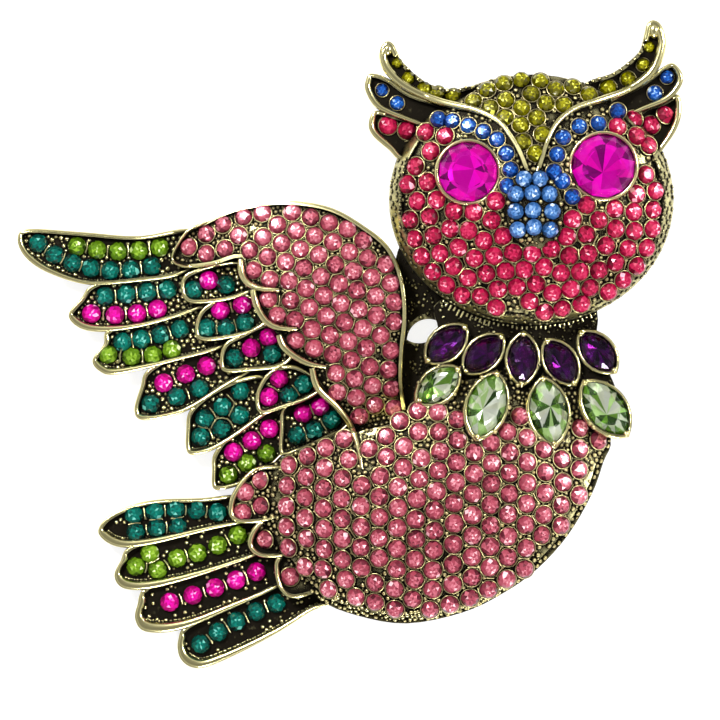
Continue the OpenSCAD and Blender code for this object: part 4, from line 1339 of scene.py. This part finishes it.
parts = []
for name, (mid, d) in EYES.items():
    seat = eye_seat(mid)
    width = BEZEL + 0.08 * MM
    parts.append(rim_mesh(eye_loop(name, BEZEL), width, seat - BEZEL_H, seat + BEZEL_H + 0.35 * MM,
                          lap=BEZEL_LAP))
joined("eye_bezels", parts, bright_gold)
parts = []
claws = []
collar = [(mid, turn, PURPLE, NECK_TOP + SEAT_RISE, 0.0) for mid, turn in purple_stones]
collar += [(mid, turn, size, green_seat(mid, turn, size), 0.22 * MM)
           for (mid, turn), size in zip(green_stones, green_sizes)]
for mid, turn, size, seat, foot in collar:
    loop = boat_loop(mid, size, turn, BEZEL)
    more = swell(loop, mid, 0.0, foot, 8 * MM, (-0.45, -0.89))
    loop = loop + outward(loop) * more[:, None]
    low = np.minimum(seat - 0.4 * MM, ground(loop) - 0.2 * MM)
    parts.append(rim_mesh(loop, BEZEL + more, low, seat + BEZEL_H + 0.1 * MM, lap=BEZEL_LAP))
    along = np.array([math.cos(math.radians(turn)), math.sin(math.radians(turn))])
    for end in (-1, 1):
        tip = place(mid) + along * end * (size[0] / 2 - 0.05 * MM)
        claws.append((tip[0], tip[1], seat + BEZEL_H + 0.02 * MM))
claws = np.array(claws)
joined("collar_bezels", parts, bright_gold)

# %% [markdown]
# The large stones are real glass: a clear cut crown over coloured foil. A ray that enters the crown is
# bent, thrown back by the foil's facets and leaves through another facet, which gives the play of light
# that a painted facet can't give. The foil's facets still carry painted light and shade in their tones.

# %% Glass and foil
def glass_material(name, tint, sheen):
    made = Shading(name)
    made.set(Base_Color=(*tint, 1), Transmission_Weight=1.0, Roughness=0.01, IOR=1.52,
             Specular_Tint=(*sheen, 1))
    return made.material


def foil_material(name, foil_tones_with_painted_light, mirror):
    """Foil whose facets take one of five tones each, after their shade: painted highlights, mid tones and
    painted shade of the foil's colour.
    """
    made = Shading(name)
    ramp = made.nodes.new("ShaderNodeValToRGB")
    ramp.color_ramp.interpolation = "CONSTANT"
    made.join(made.attribute("shade"), ramp.inputs[0])
    set_ramp(ramp, list(zip((0.0, 0.1, 0.3, 0.55, 0.85), foil_tones_with_painted_light)))
    made.set(Base_Color=ramp.outputs[0], Metallic=mirror, Roughness=0.14)
    return made.material


# %% [markdown]
# A large stone is cut over its outline. From the rim the crown rises to a flat table, and below it a
# shallow back is covered with foil. Chance moves the corners of the back, so that no two stones flash
# alike, and gives each facet its shade, a painted light or dark tone of the foil.

# %% The cut of the large stones
def large_cut(outline, mid, height, girdle, table, seed):
    """A closed stone over an outline: crown, table and a shallow pavilion. Says which faces are foil."""
    count = len(outline)
    rng = np.random.default_rng(seed)
    flat = outline - mid
    bend = (flat + np.roll(flat, -1, axis=0)) / 2
    rows = [np.column_stack([flat, np.full(count, girdle * height)]),
            np.column_stack([bend * 0.86 * 1.02, np.full(count, (girdle + (1 - girdle) * 0.55) * height)]),
            np.column_stack([flat * table, np.full(count, height)]),
            np.column_stack([bend * 0.62 * rng.uniform(0.82, 1.12, (count, 1)),
                             girdle * height * rng.uniform(0.28, 0.44, count)]),
            np.array([[*(bend[0] * rng.uniform(-0.3, 0.3)), 0.02 * MM]])]
    start = np.cumsum([0] + [len(r) for r in rows])
    faces, foil, shades = [], [], []

    def add(face, is_foil):
        faces.append(tuple(int(i) for i in face))
        foil.append(is_foil)
        # A painted tone for each face, from painted highlight to painted shade.
        shades.append(rng.choice([0.0, 0.2, 0.4, 0.7, 1.0]))

    for i in range(count):
        j = (i + 1) % count
        g, k, t, p, c = start[0], start[1], start[2], start[3], start[4]
        add((g + i, g + j, k + i), False)
        add((k + i, g + j, k + j), False)
        add((k + i, k + j, t + j), False)
        add((k + i, t + j, t + i), False)
        add((g + j, g + i, p + i), True)
        add((g + j, p + i, p + j), True)
        add((p + j, p + i, c), True)
    add(range(int(start[2]), int(start[2]) + count), False)
    corners = np.concatenate(rows) + np.array([mid[0], mid[1], 0])
    return corners, faces, foil, shades


CLEAR = 0.05 * MM
TABLE_SHARE = 0.56


def set_large(name, node, outline, mid, seat, height, girdle, look, seed):
    glass, foil, slot = look
    corners, faces, is_foil, shades = large_cut(outline, mid, height, girdle, TABLE_SHARE, seed)
    corners[:, 2] += seat + CLEAR
    obj = cut_object(name, corners, faces, shades)
    obj.data.materials.append(glass)
    obj.data.materials.append(foil)
    obj.data.polygons.foreach_set("material_index", [int(f) for f in is_foil])
    face_out(obj)
    settle(obj, slot, node)


# Each foil's tones run from painted highlights down to painted shade.
hot = (glass_material("hot pink glass", (1.0, 0.04, 0.84), (1.0, 0.35, 0.9)),
       foil_material("hot pink foil", ((1.0, 0.0, 0.72), (0.90, 0.0, 0.55), (1.0, 0.02, 0.80),
                                       (0.60, 0.0, 0.42), (0.20, 0.0, 0.16)), 0.4), "stone_fuchsia")
plum = (glass_material("plum glass", (0.5, 0.25, 0.5), (0.8, 0.6, 0.9)),
        foil_material("plum foil", ((0.13, 0.006, 0.15), (0.08, 0.004, 0.12), (0.10, 0.01, 0.17),
                                    (0.03, 0.0, 0.05), (0.004, 0.0, 0.010)), 0.75), "stone_purple")
mint = (glass_material("mint glass", (0.95, 1.0, 0.88), (1, 1, 1)),
        foil_material("mint foil", ((1.0, 1.0, 0.95), (0.60, 0.86, 0.34), (1.0, 1.0, 0.86),
                                    (0.17, 0.36, 0.03), (0.035, 0.10, 0.006)), 0.7), "stone_pale_green")
print("looks:", hot[2], plum[2], mint[2])

# %% [markdown]
# The seeds below were chosen by trying: with these the light and dark facets, partly the painted tones of
# the foil, fall about as they do in the photographed stones.

# %% Eyes and collar
EYE_H, EYE_GIRDLE = 2.1 * MM, 0.40
BOAT_H, BOAT_GIRDLE = 1.3 * MM, 0.42
EYE_SEEDS = (3, 16)
GREEN_SEEDS = (61, 114, 79, 96)
for k, (name, (mid, d)) in enumerate(EYES.items()):
    loop = ellipse(place(mid), d / 2, d / 2, 0.2 + k, sides=12)
    set_large("glass_" + name, name, loop, place(mid), eye_seat(mid), EYE_H, EYE_GIRDLE, hot, EYE_SEEDS[k])
boats = [(f"purple_{k + 1}", mid, turn, PURPLE, NECK_TOP + SEAT_RISE, plum, 10 + k)
         for k, (mid, turn) in enumerate(purple_stones)]
boats += [(f"green_{k + 1}", mid, turn, size, green_seat(mid, turn, size), mint, GREEN_SEEDS[k])
          for k, ((mid, turn), size) in enumerate(zip(green_stones, green_sizes))]
for name, mid, turn, size, seat, look, seed in boats:
    loop = boat_loop(mid, size, turn, 0, 8)
    set_large("glass_" + name, "collar_" + name, loop, place(mid), seat, BOAT_H, BOAT_GIRDLE, look, seed)

# %% [markdown]
# The floors of the feathers and lobes were darkened all over, so a thin dark sheet lies on each. It is a
# closed slab, a little higher for a feather that lies over its neighbours. A dark sheet also lies under
# the collar, and two more beside it are painted shadow, where the head's wall and the shoulder's edge
# shade the plate.

# %% Dark floors
def slab(loop, low, high):
    count = len(loop)
    verts = [(x, y, low) for x, y in loop] + [(x, y, high) for x, y in loop]
    faces = [tuple(range(count - 1, -1, -1)), tuple(range(count, 2 * count))]
    faces += [(i, (i + 1) % count, count + (i + 1) % count, count + i) for i in range(count)]
    return verts, faces


SHEET = 0.02 * MM
SHEET_STEP = 0.004 * MM
floors = [(long_feathers, PLATE), (short_feathers, SHORT_FLOOR), (tail_feathers, PLATE),
          (tufts, TUFT_FLOOR), (brow_lobes, BROW_FLOOR), (cheek_lobes, CHEEK_FLOOR)]
parts = []
for loops, level in floors:
    for k, loop in enumerate(loops):
        inner = loop - outward(loop) * 0.12 * MM
        parts.append(slab(inner, level - 0.1 * MM, level + SHEET + SHEET_STEP * (len(loops) - k)))
collar_ground = smooth_loop([
    (440, 302), (437.5, 330), (428.5, 356), (440, 388), (520, 408), (597, 417), (615, 400),
    (601, 362), (591, 335), (587, 303), (520, 292)])
# Painted shadow: the plate beside the head's wall and the shoulder's edge.
painted_shadow_beside_collar = [smooth_loop(p) for p in [
    [(400, 256), (401, 285), (407, 321), (420, 315), (434, 310), (436, 296), (424, 274), (412, 252)],
    [(407, 345), (405, 380), (407, 412), (422, 420), (432, 404), (424, 372), (420, 352)]]]
parts.append(slab(collar_ground, NECK_TOP - 0.2 * MM, NECK_TOP + SHEET))
parts += [slab(loop, SHORT_FLOOR - 0.2 * MM, SHORT_FLOOR + SHEET) for loop in painted_shadow_beside_collar]
joined("dark_floors", parts, dark_ground, smooth=False)

# %% [markdown]
# Round every stone of the close fields the metal was pushed up into a thin ring that grips it.

# %% Rings round the stones
def ring_object(sides=18, around=5, half=0.075):
    verts, faces = [], []
    for i in range(sides):
        a = i * 2 * math.pi / sides
        for k in range(around):
            b = k * 2 * math.pi / around
            r = 1 + half * math.cos(b)
            verts.append((r * math.cos(a), r * math.sin(a), half * math.sin(b)))
            j, m = (i + 1) % sides, (k + 1) % around
            faces.append((i * around + k, j * around + k, j * around + m, i * around + m))
    obj = mesh_object("ring", verts, faces)
    obj.data.shade_smooth()
    return obj


RING_RISE = 0.2 * MM
grip = ring_object()
for seed, name in enumerate(("face_stones", "body_stones", "shoulder_field", "crown_field", "brow_field")):
    seats, outs = all_seats[name]
    size = fields[name][2] * smaller[name] + 0.05 * MM
    held = heights_under(seats[:, :2], 1.5 * size.max()).min(axis=0) > 0
    seats, outs, size = seats[held], outs[held], size[held]
    rings = set_pieces("rings_" + name, grip, seats + outs * RING_RISE, outs, size, grip_gold, seed)
    settle(rings, "antique_gold")

# %% [markdown]
# Grain. Between the stones the metal is full of tiny claws and beads. They are packed into whatever
# room is left: the roomiest place gets a bead, the room shrinks, and so on. A few are left out by
# chance, so that the dark ground shows.

# %% A bead
def bead_object():
    made = bmesh.new()
    bmesh.ops.create_icosphere(made, subdivisions=1, radius=1.0)
    mesh = bpy.data.meshes.new("bead")
    made.to_mesh(mesh)
    made.free()
    mesh.shade_smooth()
    obj = bpy.data.objects.new("bead", mesh)
    bpy.context.scene.collection.objects.link(obj)
    return obj


bead = bead_object()
print("faces of a bead:", len(bead.data.polygons))

# %% [markdown]
# The room of a place is its distance to the nearest stone or bead. Packing ends when even the roomiest
# place is too small for the smallest bead.

# %% Packing beads
def pack_beads(loop, room, blocked, biggest, smallest, share, seed, step=0.1 * MM):
    free = free_places(loop, room + smallest, blocked, step)
    if len(free) == 0:
        return np.zeros((0, 3))
    stones = np.array(set_so_far)
    low, high = free.min(axis=0) - 2 * MM, free.max(axis=0) + 2 * MM
    near = stones[((stones[:, :2] > low) & (stones[:, :2] < high)).all(axis=1)]
    clear = np.full(len(free), biggest)
    for x, y, r in near:
        clear = np.minimum(clear, np.hypot(free[:, 0] - x, free[:, 1] - y) - r)
    rng = np.random.default_rng(seed)
    clear = clear + rng.uniform(0, 0.03 * MM, len(free))
    beads = []
    while True:
        k = int(clear.argmax())
        size = min(clear[k], biggest)
        if size < smallest:
            break
        if rng.uniform() < share:
            beads.append((free[k][0], free[k][1], size))
        clear = np.minimum(clear, np.hypot(*(free - free[k]).T) - size)
    return np.array(beads)


LEAST_METAL = 0.5 * MM


def bead_piece(name, beads, finish):
    """Sets beads on the metal. Each lies with its middle a little above it."""
    z = ground(beads[:, :2])
    beads, z = beads[z > LEAST_METAL], z[z > LEAST_METAL]
    z = z + beads[:, 2] * 0.35
    places = np.column_stack([beads[:, :2], z])
    settle(set_pieces(name, bead, places, UP, beads[:, 2], finish, 7), "antique_gold")


# %% [markdown]
# The first beads go between the stones of the face, the body and the shoulder, and along the body's
# lower foot. The large stones and the ridges keep their room.

# %% Beads between the stones
eye_blocks = [outline_block(eye_loop(n, BEZEL)) for n in EYES]
ridge_blocks = [line_block(line, 0.3 * MM) for line in brow_ridges]
everything = [outline_block(loop) for loop in green_loops + purple_loops] + eye_blocks
face_beads = pack_beads(head_edge, -0.05 * MM, everything + ridge_blocks,
                        biggest=0.28 * MM, smallest=0.09 * MM, share=0.6, seed=1)
bead_piece("face_beads", face_beads, grip_gold)
body_blocks = everything + [outline_block(shoulder)]
body_beads = pack_beads(body, 0.12 * MM, body_blocks,
                        biggest=0.28 * MM, smallest=0.09 * MM, share=0.75, seed=2)
bead_piece("body_beads", body_beads, grip_gold)
shoulder_beads = pack_beads(shoulder, 0.45 * MM, [],
                            biggest=0.24 * MM, smallest=0.09 * MM, share=0.8, seed=3)
bead_piece("shoulder_beads", shoulder_beads, grip_gold)
body_foot = smooth_loop([
    (318, 597), (357, 613), (407, 621), (463, 610), (503, 591), (500, 582), (463, 600),
    (407, 611), (357, 603), (320, 590)])
foot_beads = pack_beads(body_foot, -0.1 * MM, [],
                        biggest=0.26 * MM, smallest=0.12 * MM, share=0.95, seed=6)
bead_piece("body_foot_beads", foot_beads, bright_gold)

# %% [markdown]
# Teeth. The horns' outer edges carry a row of coarse teeth, and a row of fine ones follows the lower
# foot of every feather's rim, except where a stone is in the way.

# %% Teeth on the edges
TOOTH_PITCH = 0.34 * MM
LONGEST_RUN = 1.2 * MM
rng = np.random.default_rng(11)
teeth = []
for line in serrated:
    for p in line[::2]:
        teeth.append((*(p + rng.normal(0, 0.03, 2) * MM), rng.uniform(0.14, 0.24) * MM))
bead_piece("tuft_teeth", np.array(teeth), bright_gold)
teeth = []
stones = np.array(set_so_far)
for line in foot_lines:
    for a, b in zip(line, line[1:]):
        run = np.linalg.norm(b - a)
        if run > LONGEST_RUN:
            continue
        for part in np.arange(0, 1, TOOTH_PITCH / max(run, TOOTH_PITCH)):
            p = a + (b - a) * part
            size = rng.uniform(0.10, 0.15) * MM
            if (np.hypot(*(stones[:, :2] - p).T) - stones[:, 2]).min() > 0.4 * size:
                teeth.append((*p, size))
bead_piece("feather_teeth", np.array(teeth), bright_gold)

# %% [markdown]
# The floors of the feathers are grained too. Every feather is packed by itself, clear of whatever lies
# over it. The larger beads are bright claws, the smaller ones are dull grain.

# %% Grain of the feathers
CLAW_LEAST = 0.19 * MM


def feather_grain(loops, over, seed, room, **sizes):
    beads = []
    for k, loop in enumerate(loops):
        covers = [outline_block(cover, 0.05 * MM) for cover in (*loops[:k], *over)]
        beads.append(pack_beads(loop, room, covers, seed=seed + k, **sizes))
    return [found for found in beads if len(found)]


wing_grain = {"room": 0.5 * MM, "biggest": 0.28 * MM, "smallest": 0.13 * MM, "share": 0.75}
tail_grain = {"room": 0.6 * MM, "biggest": 0.22 * MM, "smallest": 0.12 * MM, "share": 0.22}
found = feather_grain(long_feathers, [*short_feathers, shoulder], 30, **wing_grain)
found += feather_grain(short_feathers, [shoulder], 40, **wing_grain)
found += feather_grain(tail_feathers, [*tail_lobes, body], 50, **tail_grain)
found = np.concatenate(found)
large = found[:, 2] > CLAW_LEAST
bead_piece("feather_beads", found[~large], grip_gold)
bead_piece("feather_claws", found[large], bright_gold)

# %% [markdown]
# Last come the band round the face and the collar's ground. The band's beads are only packed here. They
# are set further down, because they stand on its slope.

# %% Beads of the band and the neck
band_blocks = [outline_block(loop) for loop in [head_edge, crown] + tufts + brow_lobes + cheek_lobes]
band_beads = pack_beads(head_foot, 0.05 * MM, band_blocks,
                        biggest=0.24 * MM, smallest=0.1 * MM, share=0.9, seed=4, step=0.08 * MM)
neck = smooth_loop([
    (398, 250), (400, 300), (403, 360), (404, 400), (440, 425), (520, 415), (600, 420),
    (618, 400), (604, 362), (597, 335), (590, 300), (500, 280), (440, 262), (415, 250)])
neck_hole = boat_loop((424, 331), (3.8 * MM, 2.2 * MM), 27, 0.05 * MM)
neck_blocks = [outline_block(loop, 0.05 * MM) for loop in (head_foot, shoulder, body, neck_hole)]
neck_blocks += everything
neck_beads = pack_beads(neck, 0.1 * MM, neck_blocks,
                        biggest=0.2 * MM, smallest=0.1 * MM, share=0.35, seed=5)
bead_piece("neck_beads", neck_beads, cast_gold)

# %% [markdown]
# Small bars of metal stand across the gap between neighbouring stones and hold both. Chance leaves some
# out and bends the rest a little.

# %% Bars between stones
BAR_RISE = 0.42 * MM


def bars_between(seats, longest, share, half_w, half_l, seed):
    rng = np.random.default_rng(seed)
    paths = []
    for i, a in enumerate(seats):
        for b in seats[i + 1:]:
            run = b - a
            gap = np.hypot(run[0], run[1])
            if gap > longest or rng.uniform() > share:
                continue
            across = np.array([-run[1], run[0], 0]) / gap
            mid = (a + b) / 2 + np.array([0, 0, BAR_RISE])
            bend = run / gap * rng.uniform(-0.1, 0.1) * MM
            ends = half_l * rng.uniform(0.75, 1.1, 2)
            points = [mid - across * ends[0] - bend, mid, mid + across * ends[1] - bend]
            paths.append((np.array(points), half_w * np.array([0.7, 1.0, 0.7])))
    return paths


paths = []
for k, node in enumerate(n for n in charted_stones if n.startswith(("wing", "tail"))):
    paths += bars_between(all_seats[node][0], longest=2.45 * MM, share=0.9, half_w=0.085 * MM,
                          half_l=0.62 * MM, seed=k)
settle(wires("feather_bars", paths, bright_gold, 6), "antique_gold")
paths = []
for k, (name, share) in enumerate((("face_stones", 0.4), ("body_stones", 0.35), ("shoulder_field", 0.3))):
    paths += bars_between(all_seats[name][0], longest=2.25 * MM, share=share, half_w=0.075 * MM,
                          half_l=0.55 * MM, seed=10 + k)
settle(wires("field_bars", paths, grip_gold, 6), "antique_gold")

# %% [markdown]
# Under the head a row of short bars joins it to the collar. They stand on the lower part of the head's
# foot, two to each step of its outline, and are longer on the left, where the neck shows more.

# %% Bars under the head
BAR_GAP = 0.15 * MM
level = NECK_TOP + 0.06 * MM
paths = []
rng = np.random.default_rng(12)
for p, after, side in zip(head_foot, np.roll(head_foot, -1, axis=0), outward(head_foot)):
    if side[1] > -0.72 or side[0] > 0.62:
        continue
    for part in (0, 0.5):
        start = p * (1 - part) + after * part
        reach = rng.uniform(0.35, 0.75) * MM if side[0] < -0.25 else rng.uniform(0.1, 0.35) * MM
        ends = [start + side * BAR_GAP, start + side * (BAR_GAP + reach)]
        points = np.array([(x, y, level) for x, y in ends])
        if ground(points[:, :2]).min() > NECK_TOP - 0.3 * MM:
            paths.append((points, 0.11 * MM))
settle(wires("neck_bars", paths, bright_gold, 8), "antique_gold")

# %% [markdown]
# The beads of the band stand on its slope: how far each is from the foot gives its height. Each claw of
# the collar is one larger bead at a stone's point.

# %% Beads of the band, claws of the collar
CLAW_R = 0.36 * MM
share_across, share_up = np.array(BAND[1:-1]).T
depth = gap_to(band_beads[:, :2], head_foot) / BAND_W
rise = np.interp(depth, share_across, share_up)
places = np.column_stack([band_beads[:, :2], band_low + (band_high - band_low) * rise])
settle(set_pieces("band_beads", bead, places, UP, band_beads[:, 2], cast_gold, 8), "antique_gold")
settle(set_pieces("claws", bead, claws, UP, CLAW_R, bright_gold, 9), "antique_gold")

# %% [markdown]
# The casting and the pin take their finishes, and the patterns of the stone, the bead and the ring go.

# %% Finish
for node, finish in (("casting", cast_gold), ("pin_back", pin_metal)):
    mesh = frame["nodes"][node].data
    mesh.materials.clear()
    mesh.materials.append(finish)
for pattern in (stone_cut, bead, grip):
    bpy.data.objects.remove(pattern)
